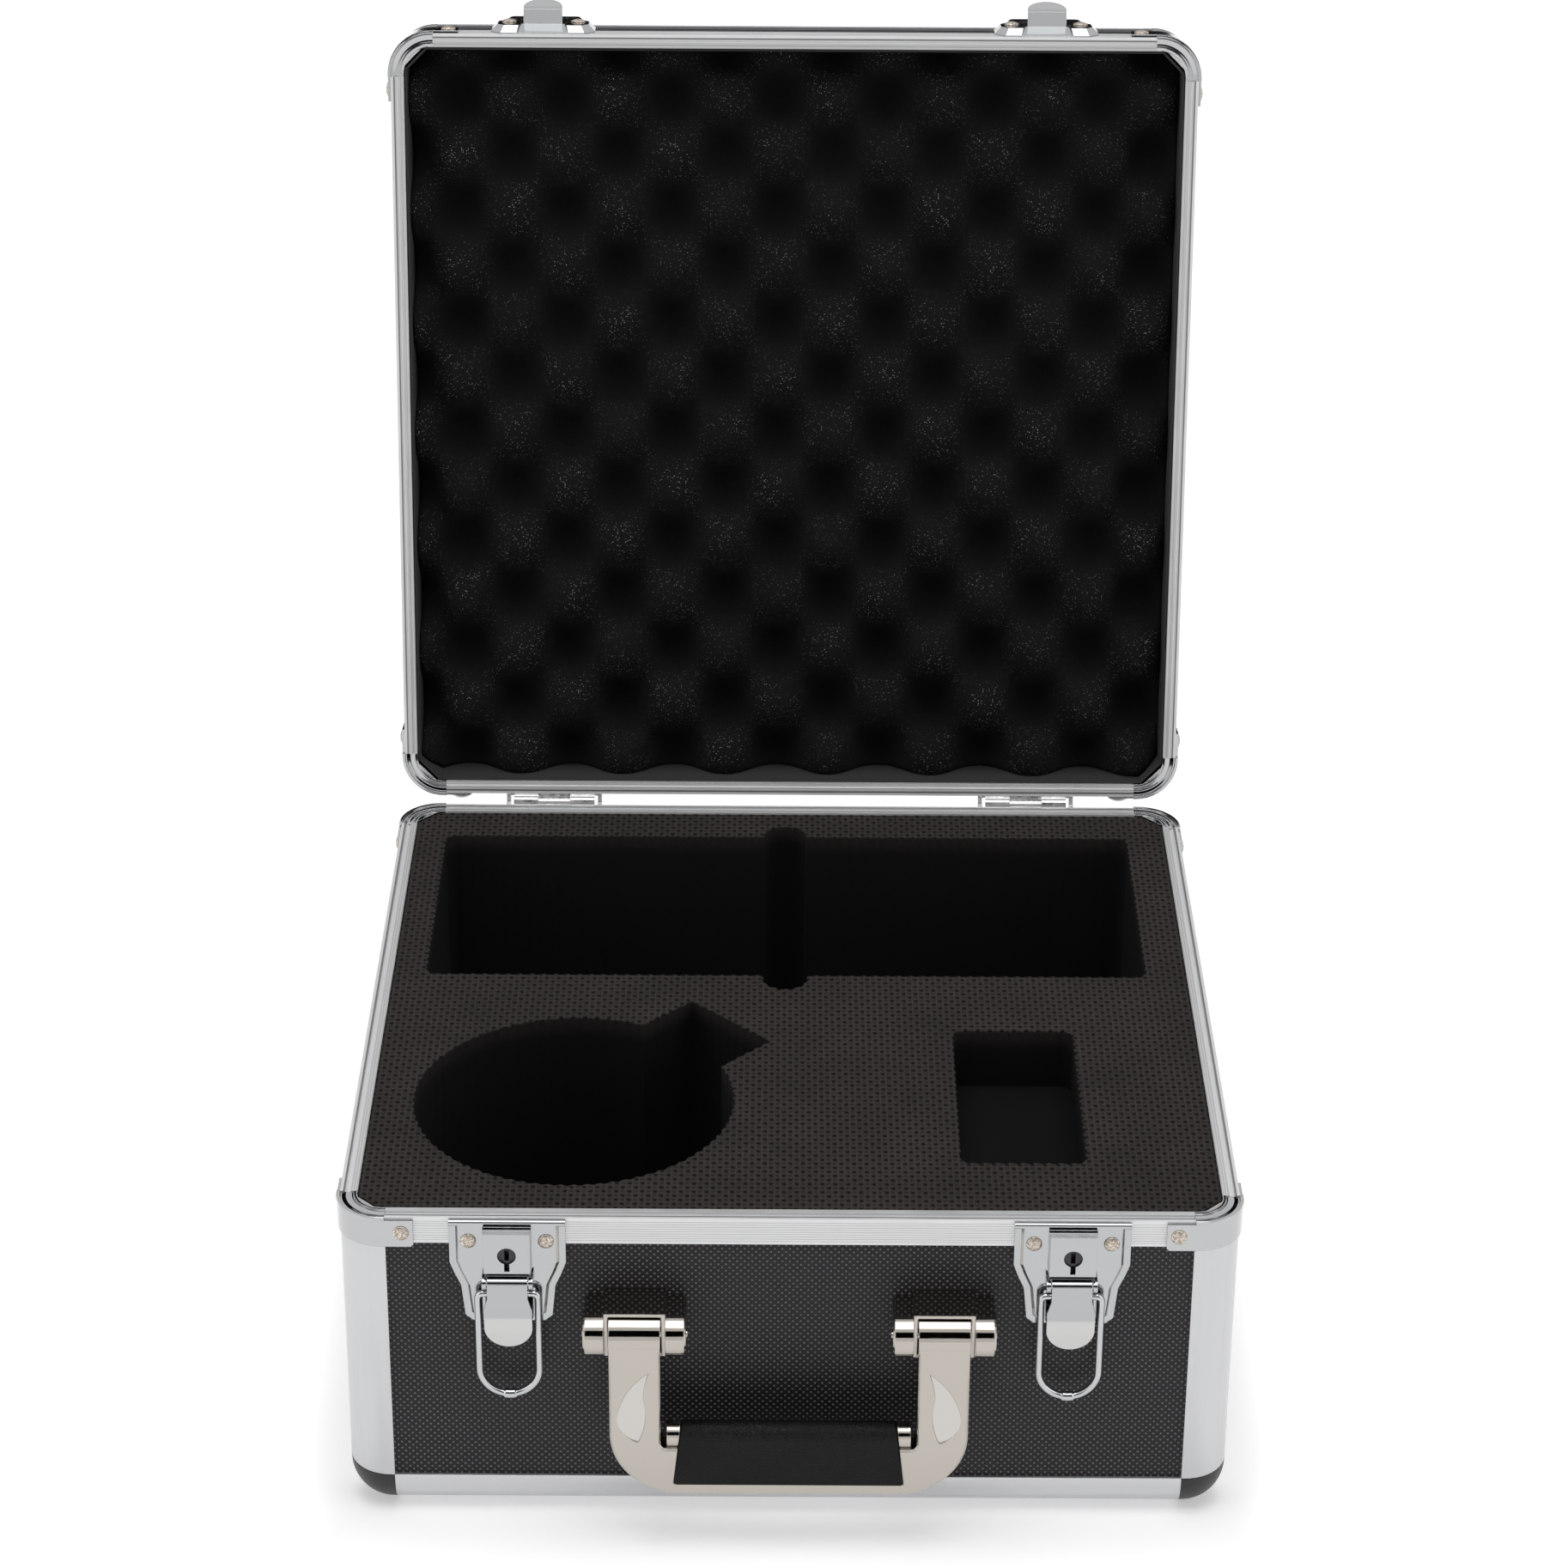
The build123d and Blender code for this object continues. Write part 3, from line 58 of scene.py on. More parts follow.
aside = Vector((sin(LOOK_ASIDE), cos(LOOK_ASIDE), 0))
level = Vector((cos(LOOK_ASIDE), -sin(LOOK_ASIDE), 0))
forward = aside * cos(LOOK_DOWN) - Vector((0, 0, sin(LOOK_DOWN)))
upward = aside * sin(LOOK_DOWN) + Vector((0, 0, cos(LOOK_DOWN)))
camera_right = level * cos(ROLL) + upward * sin(ROLL)
camera_up = upward * cos(ROLL) - level * sin(ROLL)
camera = bpy.data.objects.new("camera", bpy.data.cameras.new("camera"))
bpy.context.scene.collection.objects.link(camera)
camera.data.sensor_width = 36.0
camera.data.lens = 36.0 * FOCAL_PIXELS / PHOTO_WIDTH
camera.data.clip_end = 20.0
camera.matrix_world = Matrix.Translation(CAMERA_PLACE) @ Matrix(
    (camera_right, camera_up, -forward)
).transposed().to_4x4()
bpy.context.scene.camera = camera


# Rounded edge extrusions, corner posts and rim profiles: drawn aluminium, satin anodised.
# Die lines run along each length, and the rims' outer bands are rolled with fine level grooves.
class Finish:
    """A node material. Its methods add nodes and hand back the socket to go on with."""

    def __init__(self, name, color, roughness, metallic=0.0, **sockets):
        self.material = bpy.data.materials.new(name)
        self.material.use_nodes = True
        self.tree = self.material.node_tree
        self.shader = self.tree.nodes["Principled BSDF"]
        self.set("Base Color", (*color, 1.0))
        self.set("Roughness", roughness)
        self.set("Metallic", metallic)
        for socket, value in sockets.items():
            self.set(socket.replace("_", " "), value)

    def set(self, socket, value):
        """A fixed value goes on the shader's own socket, a pattern is linked to it."""
        if isinstance(value, bpy.types.NodeSocket):
            self.tree.links.new(value, self.shader.inputs[socket])
        else:
            self.shader.inputs[socket].default_value = value

    def node(self, kind, *values, out=0, **settings):
        made = self.tree.nodes.new(kind)
        for setting, value in settings.items():
            setattr(made, setting, value)
        for socket, value in zip(made.inputs, values):
            if isinstance(value, bpy.types.NodeSocket):
                self.tree.links.new(value, socket)
            elif value is not None:
                socket.default_value = value
        return made.outputs[out]

    def math(self, operation, *values):
        return self.node("ShaderNodeMath", *values, operation=operation)

    def place(self, shut=False, scale=(1, 1, 1)):
        """Object coordinates, with the lid's pieces turned back to where they lie when shut."""
        spot = self.node("ShaderNodeTexCoord", out=3)
        if shut:
            spot = self.node("ShaderNodeMapping", spot, SHUT_SHIFT, SHUT_TURN)
        if tuple(scale) != (1, 1, 1):
            spot = self.node("ShaderNodeMapping", spot, (0, 0, 0), (0, 0, 0), scale)
        return spot

    def axes(self, spot):
        split = self.node("ShaderNodeSeparateXYZ", spot).node
        return {"X": split.outputs[0], "Y": split.outputs[1], "Z": split.outputs[2]}

    def noise(self, spot, scale, detail=2.0, roughness=0.5):
        made = self.node("ShaderNodeTexNoise")
        self.tree.links.new(spot, made.node.inputs["Vector"])
        made.node.inputs["Scale"].default_value = scale
        made.node.inputs["Detail"].default_value = detail
        made.node.inputs["Roughness"].default_value = roughness
        return made

    def between(self, value, low, high, to_low=0.0, to_high=1.0):
        """A clamped, smoothed change from to_low to to_high as value goes from low to high."""
        return self.node(
            "ShaderNodeMapRange", value, low, high, to_low, to_high, interpolation_type="SMOOTHSTEP"
        )

    def tint(self, amount, low, high):
        """A colour that goes from low to high with amount."""
        mixed = self.node("ShaderNodeMix", data_type="RGBA").node
        self.tree.links.new(amount, mixed.inputs[0])
        mixed.inputs[6].default_value = (*low, 1.0)
        mixed.inputs[7].default_value = (*high, 1.0)
        return mixed.outputs[2]

    def relief(self, height, depth, round_edges=0.0, strength=1.0):
        """Bump by height (0 to 1) times depth in metres, over edges rounded by a radius."""
        bump = self.node("ShaderNodeBump", strength).node
        bump.inputs["Distance"].default_value = depth
        self.tree.links.new(height, bump.inputs["Height"])
        if round_edges:
            edge = self.node("ShaderNodeBevel", round_edges, samples=4)
            self.tree.links.new(edge, bump.inputs["Normal"])
        self.set("Normal", bump.outputs[0])


hinge = next(j for j in frame["joints"] if j["name"] == "lid_hinge")
HINGE_AXIS = Vector(hinge["pos_m"])
SHUT_ANGLE = radians(hinge["range_deg"][1])
SHUT_TURN = (SHUT_ANGLE, 0.0, 0.0)
SHUT_SHIFT = HINGE_AXIS - Euler(SHUT_TURN).to_matrix() @ HINGE_AXIS


def give(finish, *names):
    """Puts a finish on CAD nodes."""
    for name in names:
        node = frame["nodes"][name]
        node.data.materials.clear()
        node.data.materials.append(finish.material)


ALUMINIUM = (0.54, 0.545, 0.555)
RIM_METAL = (0.20, 0.20, 0.20), (0.77, 0.775, 0.78)
RIM_BAND, GROOVE_PITCH = 10 * MM, 0.9 * MM
BASE_RIM, LID_RIM = 120 * MM, 120.3 * MM
RIM_HALF, FACE_LINES = (150 * MM, 147.5 * MM), (1.3 * MM, 6.6 * MM)


def anodised(name, stretch, shut=False, tone=ALUMINIUM):
    """Satin metal whose fine lines follow stretch, the short way of the noise along a run."""
    finish = Finish(name, tone, 0.36, 0.85)
    lines = finish.noise(finish.place(shut, stretch), 900.0, 3.0, 0.6)
    cloud = finish.noise(finish.place(shut), 14.0)
    finish.set("Roughness", finish.between(lines, 0.3, 0.75, 0.30, 0.42))
    dim, pale = [tuple(share * part for part in tone) for share in (0.94, 1.06)]
    finish.set("Base Color", finish.tint(cloud, dim, pale))
    finish.relief(lines, 0.012 * MM, 0.25 * MM)
    return finish


def rim_finish(name, rim_level, way, shut=False):
    """The rims' metal: grooved over the outer band, with painted shade in the grooves' bottoms, and brighter
    along the band's two ungrooved edges. The narrow face where the rims meet has two dark lines along it,
    with finely drawn metal between."""
    finish = Finish(name, RIM_METAL[1], 0.45, 0.55)
    axes = finish.axes(finish.place(shut))
    drop = finish.math("MULTIPLY", finish.math("SUBTRACT", rim_level, axes["Z"]), way)
    ridges = finish.math("SINE", finish.math("MULTIPLY", drop, 2 * pi / GROOVE_PITCH))
    upper = finish.between(drop, 1.2 * MM, 1.6 * MM)
    lower = finish.between(drop, RIM_BAND - 1.3 * MM, RIM_BAND - 0.9 * MM, 1.0, 0.0)
    band = finish.math("MULTIPLY", upper, lower)
    lines = finish.noise(finish.place(shut, (0.03, 0.03, 1)), 1600.0, 2.0)
    # Painted shade: where the grooves' relief dips, the colour is darker.
    rows = finish.math("MULTIPLY", finish.between(ridges, -1.0, -0.4, 1.0, 0.0), band)
    inward = finish.math("MINIMUM", *[
        finish.math("SUBTRACT", half, finish.math("ABSOLUTE", axes[axis]))
        for axis, half in zip("XY", RIM_HALF)
    ])
    from_lines = [finish.math("ABSOLUTE", finish.math("SUBTRACT", inward, line)) for line in FACE_LINES]
    dark_lines = [finish.between(away, 0.15 * MM, 0.45 * MM, 1.0, 0.0) for away in from_lines]
    drawn = finish.math("MULTIPLY", finish.between(inward, FACE_LINES[0], FACE_LINES[0] + 0.3 * MM),
                        finish.between(inward, FACE_LINES[1] - 0.3 * MM, FACE_LINES[1], 0.30, 0.0))
    fine = finish.math("SINE", finish.math("MULTIPLY", inward, 2 * pi / GROOVE_PITCH))
    drawn = finish.math("MULTIPLY", drawn, finish.between(fine, -1.0, 1.0, 0.6, 1.4))
    face = finish.math("MAXIMUM", finish.math("MAXIMUM", *dark_lines), drawn)
    face = finish.math("MULTIPLY", face, finish.between(drop, 0.3 * MM, 0.8 * MM, 1.0, 0.0))
    dark = finish.math("MAXIMUM", finish.math("MULTIPLY", rows, 0.45), face)
    finish.set("Base Color", finish.tint(dark, *RIM_METAL[::-1]))
    finish.set("Roughness", finish.between(lines, 0.3, 0.75, 0.38, 0.52))
    finish.relief(finish.math("MULTIPLY_ADD", rows, -0.7, finish.math("MULTIPLY", lines, 0.3)),
                  0.06 * MM, 0.25 * MM)
    return finish


give(anodised("anodised_posts", (1, 1, 0.02)), "base_corner_posts")
give(anodised("anodised_lid_posts", (1, 1, 0.02), True), "lid_corner_posts")
PALE_EDGE = (0.64, 0.645, 0.66)
give(anodised("anodised_edges", (0.02, 0.02, 1), tone=PALE_EDGE), "base_bottom_edges")
give(anodised("anodised_lid_edges", (0.02, 0.02, 1), True, PALE_EDGE), "lid_top_edges")
SIDES = ("front", "right", "back", "left")
give(rim_finish("grooved_rim", BASE_RIM, 1.0), *[f"base_{s}_rim" for s in SIDES])
give(rim_finish("grooved_lid_rim", LID_RIM, -1.0, True), *[f"lid_{s}_rim" for s in SIDES])


# Wall, bottom and lid boards: thin board faced with black plastic, embossed with staggered beads.
# The plastic is satin, and each bead's top is painted paler: a painted highlight for the point of light it
# catches.
BEAD_PITCH = 2.5 * MM
BEAD_HEIGHT = 0.22 * MM


def embossed(name, across, up, shut=False):
    """Beads in two interlaced square grids: the product of two cosines, cut off below."""
    finish = Finish(name, (0.012, 0.012, 0.013), 0.34, Specular_IOR_Level=0.3)
    axes = finish.axes(finish.place(shut))
    waves = [
        finish.math("COSINE", finish.math("MULTIPLY", axes[axis], 2 * pi / BEAD_PITCH))
        for axis in (across, up)
    ]
    bead = finish.between(finish.math("MULTIPLY", *waves), 0.42, 0.98)
    grain = finish.noise(finish.place(shut), 2600.0, 3.0, 0.6)
    cloud = finish.noise(finish.place(shut), 30.0)
    # Painted highlight: the beads' tops get a paler base colour, varied by a slow cloud.
    shade = finish.math("MULTIPLY", bead, finish.math("MULTIPLY_ADD", cloud, 0.5, 0.6))
    finish.set("Base Color", finish.tint(shade, (0.008, 0.008, 0.0085), (0.29, 0.27, 0.295)))
    finish.set("Roughness", finish.between(bead, 0.0, 1.0, 0.50, 0.22))
    finish.relief(finish.math("ADD", bead, finish.math("MULTIPLY", grain, 0.12)), BEAD_HEIGHT)
    return finish


for wall, axis in (("front", "X"), ("right", "Y"), ("back", "X"), ("left", "Y")):
    give(embossed(f"embossed_{wall}", axis, "Z"), f"base_{wall}_board")
    give(embossed(f"embossed_lid_{wall}", axis, "Z", True), f"lid_{wall}_board")
give(embossed("embossed_bottom", "X", "Y"), "base_bottom_board")
give(embossed("embossed_top", "X", "Y", True), "lid_top_board")


# Bright hardware: corner brackets, latches, catches and the handle's castings, chromed and polished.
# The plating rides over slightly wavy pressings, so that long reflections waver.
def chromed(name, color, roughness, waviness, edge):
    finish = Finish(name, color, roughness, 1.0)
    waves = finish.noise(finish.place(), 90.0, 1.0)
    smears = finish.noise(finish.place(), 260.0, 4.0, 0.65)
    finish.set("Roughness", finish.between(smears, 0.35, 0.75, roughness, roughness + 0.07))
    finish.relief(waves, waviness, edge)
    return finish


pressed_chrome = chromed("pressed_chrome", (0.40, 0.41, 0.415), 0.08, 0.12 * MM, 0.3 * MM)
# The castings' chrome is tinted warm: a painted reflection of a warm surround.
cast_chrome = chromed("cast_chrome", (0.415, 0.385, 0.35), 0.04, 0.10 * MM, 0.5 * MM)
wire_chrome = chromed("wire_chrome", (0.44, 0.45, 0.46), 0.10, 0.04 * MM, 0.1 * MM)
give(pressed_chrome, "lid_catch_left", "lid_catch_right")
for hand in ("left", "right"):
    give(pressed_chrome, f"latch_plate_{hand}")
    give(cast_chrome, f"handle_mount_{hand}")
    give(wire_chrome, f"lever_pin_{hand}")
give(cast_chrome, "handle_pins")


# Corner brackets: pressed sheet, chromed, riveted over the joints of the rims at each corner.
# Their rounded tops are pressed with ridges that run round the corner, even with its edge.
RIDGE_PITCH, RIDGE_HEIGHT = 3.4 * MM, 0.22 * MM
BRACKET_MIDDLE = (135.0 * MM, 132.5 * MM)


def ridged_chrome(name, shut, rim_level, way):
    """The height is a sine of the distance out of a box that the corner goes round."""
    finish = chromed(name, (0.42, 0.425, 0.43), 0.08, 0.0, 0.3 * MM)
    axes = finish.axes(finish.place(shut))
    out = [
        finish.math("MAXIMUM", finish.math("SUBTRACT", finish.math("ABSOLUTE", axes[axis]), middle), 0.0)
        for axis, middle in zip("XY", BRACKET_MIDDLE)
    ]
    squares = [finish.math("MULTIPLY", side, side) for side in out]
    distance = finish.math("SQRT", finish.math("ADD", *squares))
    ridge = finish.math("SINE", finish.math("MULTIPLY", distance, 2 * pi / RIDGE_PITCH))
    drop = finish.math("MULTIPLY", finish.math("SUBTRACT", rim_level, axes["Z"]), way)
    on_top = finish.between(drop, 0.3 * MM, 1.4 * MM, 1.0, 0.0)
    finish.relief(finish.math("MULTIPLY", ridge, on_top), RIDGE_HEIGHT, 0.3 * MM)
    return finish


give(ridged_chrome("ridged_chrome", False, BASE_RIM, 1.0), "base_rim_brackets")
give(ridged_chrome("ridged_lid_chrome", True, LID_RIM, -1.0), "lid_rim_brackets")


# Latch levers: pressed sheet, chromed, each turning on a pin between its plate's ears.
# Their thumb ends are bent out below a crease, and painted paler there: a painted highlight on the bend.
CREASE, CREASE_SOFT = 85.5 * MM, 1.4 * MM
lever_chrome = chromed("lever_chrome", (0.40, 0.41, 0.415), 0.08, 0.0, 0.3 * MM)
height = lever_chrome.axes(lever_chrome.place())["Z"]
bent = lever_chrome.between(height, CREASE - 7 * MM, CREASE, 1.0, 0.0)
# Painted highlight: below the crease the base colour is paler.
painted_bend_highlight = lever_chrome.between(height, CREASE - CREASE_SOFT, CREASE, 1.0, 0.0)
lever_chrome.set("Base Color", lever_chrome.tint(painted_bend_highlight, (0.375, 0.385, 0.39), (0.47, 0.47, 0.465)))
lever_chrome.relief(bent, 1.1 * MM, 0.3 * MM)
give(lever_chrome, "latch_lever_left", "latch_lever_right")


# Handle frame: a bent casting, chromed and polished, hung on two pins between the mounts' lugs.
# Its leaf-shaped facets, turned a little sideways, are painted paler than the polished face round them: a
# painted reflection that follows the way each face turns.
# Warm tint: a painted reflection of a warm surround, as on the castings.
frame_chrome = chromed("frame_chrome", (0.415, 0.385, 0.35), 0.04, 0.10 * MM, 0.5 * MM)
# Painted reflection: faces turned a little to the side get a paler base colour.
facing = frame_chrome.axes(frame_chrome.node("ShaderNodeNewGeometry", out=3))
turned = frame_chrome.math("ABSOLUTE", facing["X"])
painted_facet_light = frame_chrome.math("MULTIPLY", frame_chrome.between(turned, 0.02, 0.05),
                         frame_chrome.between(turned, 0.35, 0.45, 1.0, 0.0))
frame_chrome.set("Base Color", frame_chrome.tint(painted_facet_light, (0.415, 0.385, 0.35), (0.48, 0.465, 0.44)))
give(frame_chrome, "handle_frame")


# Lock plugs and hinges: nickel and zinc plate, duller and warmer than the chrome.
# The plugs are dark in their keyways, the zinc is faintly spangled.
plug_metal = Finish("lock_nickel", (0.05, 0.05, 0.052), 0.35, 1.0)
plug_metal.relief(plug_metal.noise(plug_metal.place(), 800.0), 0.02 * MM, 0.1 * MM)
give(plug_metal, "lock_plug_left", "lock_plug_right")

zinc = Finish("zinc_plate", (0.66, 0.66, 0.65), 0.3, 1.0)
spangle = zinc.noise(zinc.place(), 420.0, 3.0)
zinc.set("Roughness", zinc.between(spangle, 0.35, 0.7, 0.24, 0.4))
zinc.relief(spangle, 0.02 * MM, 0.15 * MM)
give(zinc, "hinge_pins")
for hand in ("left", "right"):
    give(zinc, f"hinge_base_leaf_{hand}", f"hinge_lid_leaf_{hand}")


# Rivets and glide feet: shallow domed heads of scuffed nickel, set through the brackets, latches,
# catches and hinges. On the hinge side each bracket has a larger, chromed foot in the rivet's place.
# Brown speckles show where the setting tool has worn the nickel.
RIVET_RADIUS, RIVET_HEIGHT, RIVET_EDGE = 2.65 * MM, 1.1 * MM, 0.4 * MM
FOOT_RADIUS, FOOT_HEIGHT, FOOT_EDGE = 4.6 * MM, 2.5 * MM, 0.5 * MM
CORNER_ACROSS, CORNER_ALONG, CORNER_FACE, CORNER_SIDE = 128.6 * MM, 126.1 * MM, 148.55 * MM, 151.05 * MM
LATCH_MIDDLE, LATCH_SPREAD, HINGE_MIDDLE, HINGE_SPREAD = 93.5 * MM, 12.85 * MM, 92 * MM, 10 * MM
BASE_TABS, LID_TABS, BACK_FACE = 114.4 * MM, 125.9 * MM, 147.4 * MM
LATCH_FACE, LATCH_LEVEL, HINGE_BASE_LEVEL = -149.7 * MM, 112.3 * MM, 103 * MM
CATCH_FACE, CATCH_LEVEL, HINGE_LID_LEVEL = -150.5 * MM, 132.5 * MM, 137 * MM


def mesh_piece(name, verts, faces, finish, body, slot, smooth=True):
    """A new object at the origin from whole arrays, its doubles merged and its faces turned out."""
    mesh = bpy.data.meshes.new(name)
    mesh.from_pydata(verts.tolist(), [], [list(map(int, f)) for f in faces])
    piece = bpy.data.objects.new(name, mesh)
    bpy.context.scene.collection.objects.link(piece)
    bpy.context.view_layer.objects.active = piece
    bpy.ops.object.select_all(action="DESELECT")
    piece.select_set(True)
    bpy.ops.object.mode_set(mode="EDIT")
    bpy.ops.mesh.select_all(action="SELECT")
    bpy.ops.mesh.remove_doubles(threshold=1e-6)
    bpy.ops.mesh.normals_make_consistent(inside=False)
    bpy.ops.object.mode_set(mode="OBJECT")
    mesh.polygons.foreach_set("use_smooth", [smooth] * len(mesh.polygons))
    mesh.materials.append(finish.material)
    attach(piece, body)
    return piece


def strips(rings, closed=True):
    """Quads between rings of points, each ring as long as the next: rows times columns."""
    rows, columns = rings.shape[:2]
    row, column = np.meshgrid(np.arange(rows - 1), np.arange(columns if closed else columns - 1),
                              indexing="ij")
    beside = (column + 1) % columns
    quads = [row * columns + column, row * columns + beside,
             (row + 1) * columns + beside, (row + 1) * columns + column]
    return np.stack(quads, -1).reshape(-1, 4)


def joined(parts):
    """The parts' points in one array, and their faces renumbered to it."""
    shift, faces = 0, []
    for verts, part_faces in parts:
        faces += [[int(i) + shift for i in f] for f in part_faces]
        shift += len(verts)
    return np.vstack([verts for verts, f in parts]), faces


def opened(points):
    """Points given as they lie in the shut lid, turned open with it."""
    turn = Euler((-SHUT_ANGLE, 0, 0)).to_matrix()
    shift = HINGE_AXIS - turn @ HINGE_AXIS
    return points @ np.array(turn).T + np.array(shift)


def dome(seat, outward, radius, height, edge):
    """A cap turned about the line out of its seat: at a share s of the radius it stands
    edge + (height - edge)(1 - s squared) proud, and its rim drops straight to the seat."""
    share = np.array([0, 0.2, 0.4, 0.6, 0.8, 0.92, 0.98, 1, 1, 0])
    proud = edge + (height - edge) * (1 - share**2)
    proud[6] -= 0.04 * MM
    proud[7] -= 0.14 * MM
    proud[8:] = -0.05 * MM
    out = np.array(outward, float)
    first = np.cross(out, (0, 0, 1))
    second = np.cross(out, first)
    spin = np.linspace(0, 2 * pi, 28, endpoint=False)
    around = np.cos(spin)[:, None] * first + np.sin(spin)[:, None] * second
    rings = np.array(seat) + share[:, None, None] * radius * around + proud[:, None, None] * out
    return rings.reshape(-1, 3), strips(rings)


def corner_seats(level, back):
    """Where the brackets' tabs are fixed: both sides of each corner, or only the back's two."""
    if back:
        return [((way * CORNER_ACROSS, CORNER_FACE, level), (0, 1, 0)) for way in (-1, 1)]
    front = [((way * CORNER_ACROSS, -CORNER_FACE, level), (0, -1, 0)) for way in (-1, 1)]
    sides = [
        ((way * CORNER_SIDE, end * CORNER_ALONG, level), (way, 0, 0)) for way in (-1, 1) for end in (-1, 1)
    ]
    return front + sides


def pair_seats(middle, spread, face, level, way):
    """Two rivets on each of two fittings, spread about its middle."""
    across = [hand * middle + end * spread for hand in (-1, 1) for end in (-1, 1)]
    return [((x, face, level), (0, way, 0)) for x in across]


def heads(name, seats, node, finish, slot, body, size):
    """The domes of one node; the lid's seats are given as they lie when shut."""
    verts, faces = joined([dome(*seat, *size) for seat in seats])
    piece = mesh_piece(name, opened(verts) if body == "lid" else verts, faces, finish, body, slot)
    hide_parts(node)


nickel = Finish("scuffed_nickel", (0.52, 0.47, 0.42), 0.32, 1.0)
scuffs = nickel.noise(nickel.place(), 1500.0, 4.0, 0.7)
nickel.set("Base Color", nickel.tint(nickel.between(scuffs, 0.42, 0.60), (0.30, 0.24, 0.20),
                                     (0.66, 0.61, 0.54)))
nickel.set("Roughness", nickel.between(scuffs, 0.35, 0.65, 0.5, 0.3))
nickel.relief(scuffs, 0.03 * MM)
RIVET, FOOT = (RIVET_RADIUS, RIVET_HEIGHT, RIVET_EDGE), (FOOT_RADIUS, FOOT_HEIGHT, FOOT_EDGE)
heads("domed_base_rivets", corner_seats(BASE_TABS, False)
      + pair_seats(LATCH_MIDDLE, LATCH_SPREAD, LATCH_FACE, LATCH_LEVEL, -1)
      + pair_seats(HINGE_MIDDLE, HINGE_SPREAD, BACK_FACE, HINGE_BASE_LEVEL, 1),
      "base_rivets", nickel, "rivet_metal", "base", RIVET)
heads("domed_lid_rivets", corner_seats(LID_TABS, False)
      + pair_seats(LATCH_MIDDLE, LATCH_SPREAD, CATCH_FACE, CATCH_LEVEL, -1)
      + pair_seats(HINGE_MIDDLE, HINGE_SPREAD, BACK_FACE, HINGE_LID_LEVEL, 1),
      "lid_rivets", nickel, "rivet_metal", "lid", RIVET)
heads("domed_base_feet", corner_seats(BASE_TABS, True), "base_glide_feet", pressed_chrome,
      "bright_chrome", "base", FOOT)
heads("domed_lid_feet", corner_seats(LID_TABS, True), "lid_glide_feet", pressed_chrome,
      "bright_chrome", "lid", FOOT)


# Corner caps: black moulded plastic, satin with a faint moulding grain. Each is a ball corner pushed
# over the ends of the three extrusions that meet there.
CAP_RADIUS, CAP_WALL, CAP_SKIRT = 15 * MM, 1.2 * MM, 0.95 * MM
CAP_MIDDLE, CASE_HEIGHT = (135 * MM, 132.5 * MM), 160 * MM


def ball_corner(ways, middle):
    """A shell at middle + r (cos a cos b, sin a cos b, sin b), each part turned its own way, for a
    and b from 0 to a right angle, with a short straight skirt past the ends."""
    turn = np.linspace(0, pi / 2, 17)
    rows, columns = np.concatenate([turn[:1], turn, turn[-1:]]), np.concatenate([turn[:1], turn])
    a, b = rows[:, None], columns[None]
    shape = np.stack([np.cos(a) * np.cos(b), np.sin(a) * np.cos(b), np.sin(b) + 0 * a], -1)
    skirt = np.zeros(shape.shape)
    skirt[0, :, 1] = skirt[-1, :, 0] = skirt[:, 0, 2] = -CAP_SKIRT
    outer, inner = [shape * radius + skirt for radius in (CAP_RADIUS, CAP_RADIUS - CAP_WALL)]
    rings = np.concatenate([outer, inner[:, ::-1]], 1) * np.array(ways) + np.array(middle)
    count = rings.shape[1]
    ends = [list(range(count)), list(range(rings.shape[0] * count - count, rings.shape[0] * count))]
    return rings.reshape(-1, 3), [*strips(rings).tolist(), *ends]


def ball_corners(up, level):
    """The four caps of the base or the lid, their middles at one level."""
    across, along = CAP_MIDDLE
    return joined([ball_corner((x, y, up), (x * across, y * along, level)) for x in (-1, 1) for y in (-1, 1)])


caps = Finish("moulded_black", (0.014, 0.013, 0.014), 0.42)
caps.relief(caps.noise(caps.place(), 900.0, 3.0), 0.05 * MM, 0.3 * MM)
base_caps = mesh_piece("ball_base_caps", *ball_corners(-1, CAP_RADIUS), caps, "base", "corner_plastic")
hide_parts("base_corner_caps")
cap_verts, cap_faces = ball_corners(1, CASE_HEIGHT - CAP_RADIUS)
lid_caps = mesh_piece("ball_lid_caps", opened(cap_verts), cap_faces, caps, "lid", "corner_plastic")
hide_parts("lid_corner_caps")


# Wire bails: a chromed wire bent into a loop, its ends turned in to the lever's ears and its
# two halves butt-welded at the bottom, where the joint has left a short thick bead.
WIRE_RADIUS, BAIL_TOP, BAIL_DEEP = 1.2 * MM, 93.5 * MM, -152.6 * MM
BAIL_END, BAIL_SHOULDER, BAIL_BEND = 5.46 * MM, 8.2 * MM, 1.8 * MM
LOOP_RADIUS, LOOP_CENTRE = 10 * MM, 63.5 * MM
WELD_RADIUS, WELD_HALF = 1.7 * MM, 1.8 * MM


def arc(centre, radius, start, stop):
    """Points along an arc about centre, angles in degrees."""
    turn = np.radians(np.linspace(start, stop, 2 + int(abs(stop - start) / 6)))
    return np.stack([centre[0] + radius * np.cos(turn), centre[1] + radius * np.sin(turn)], 1)


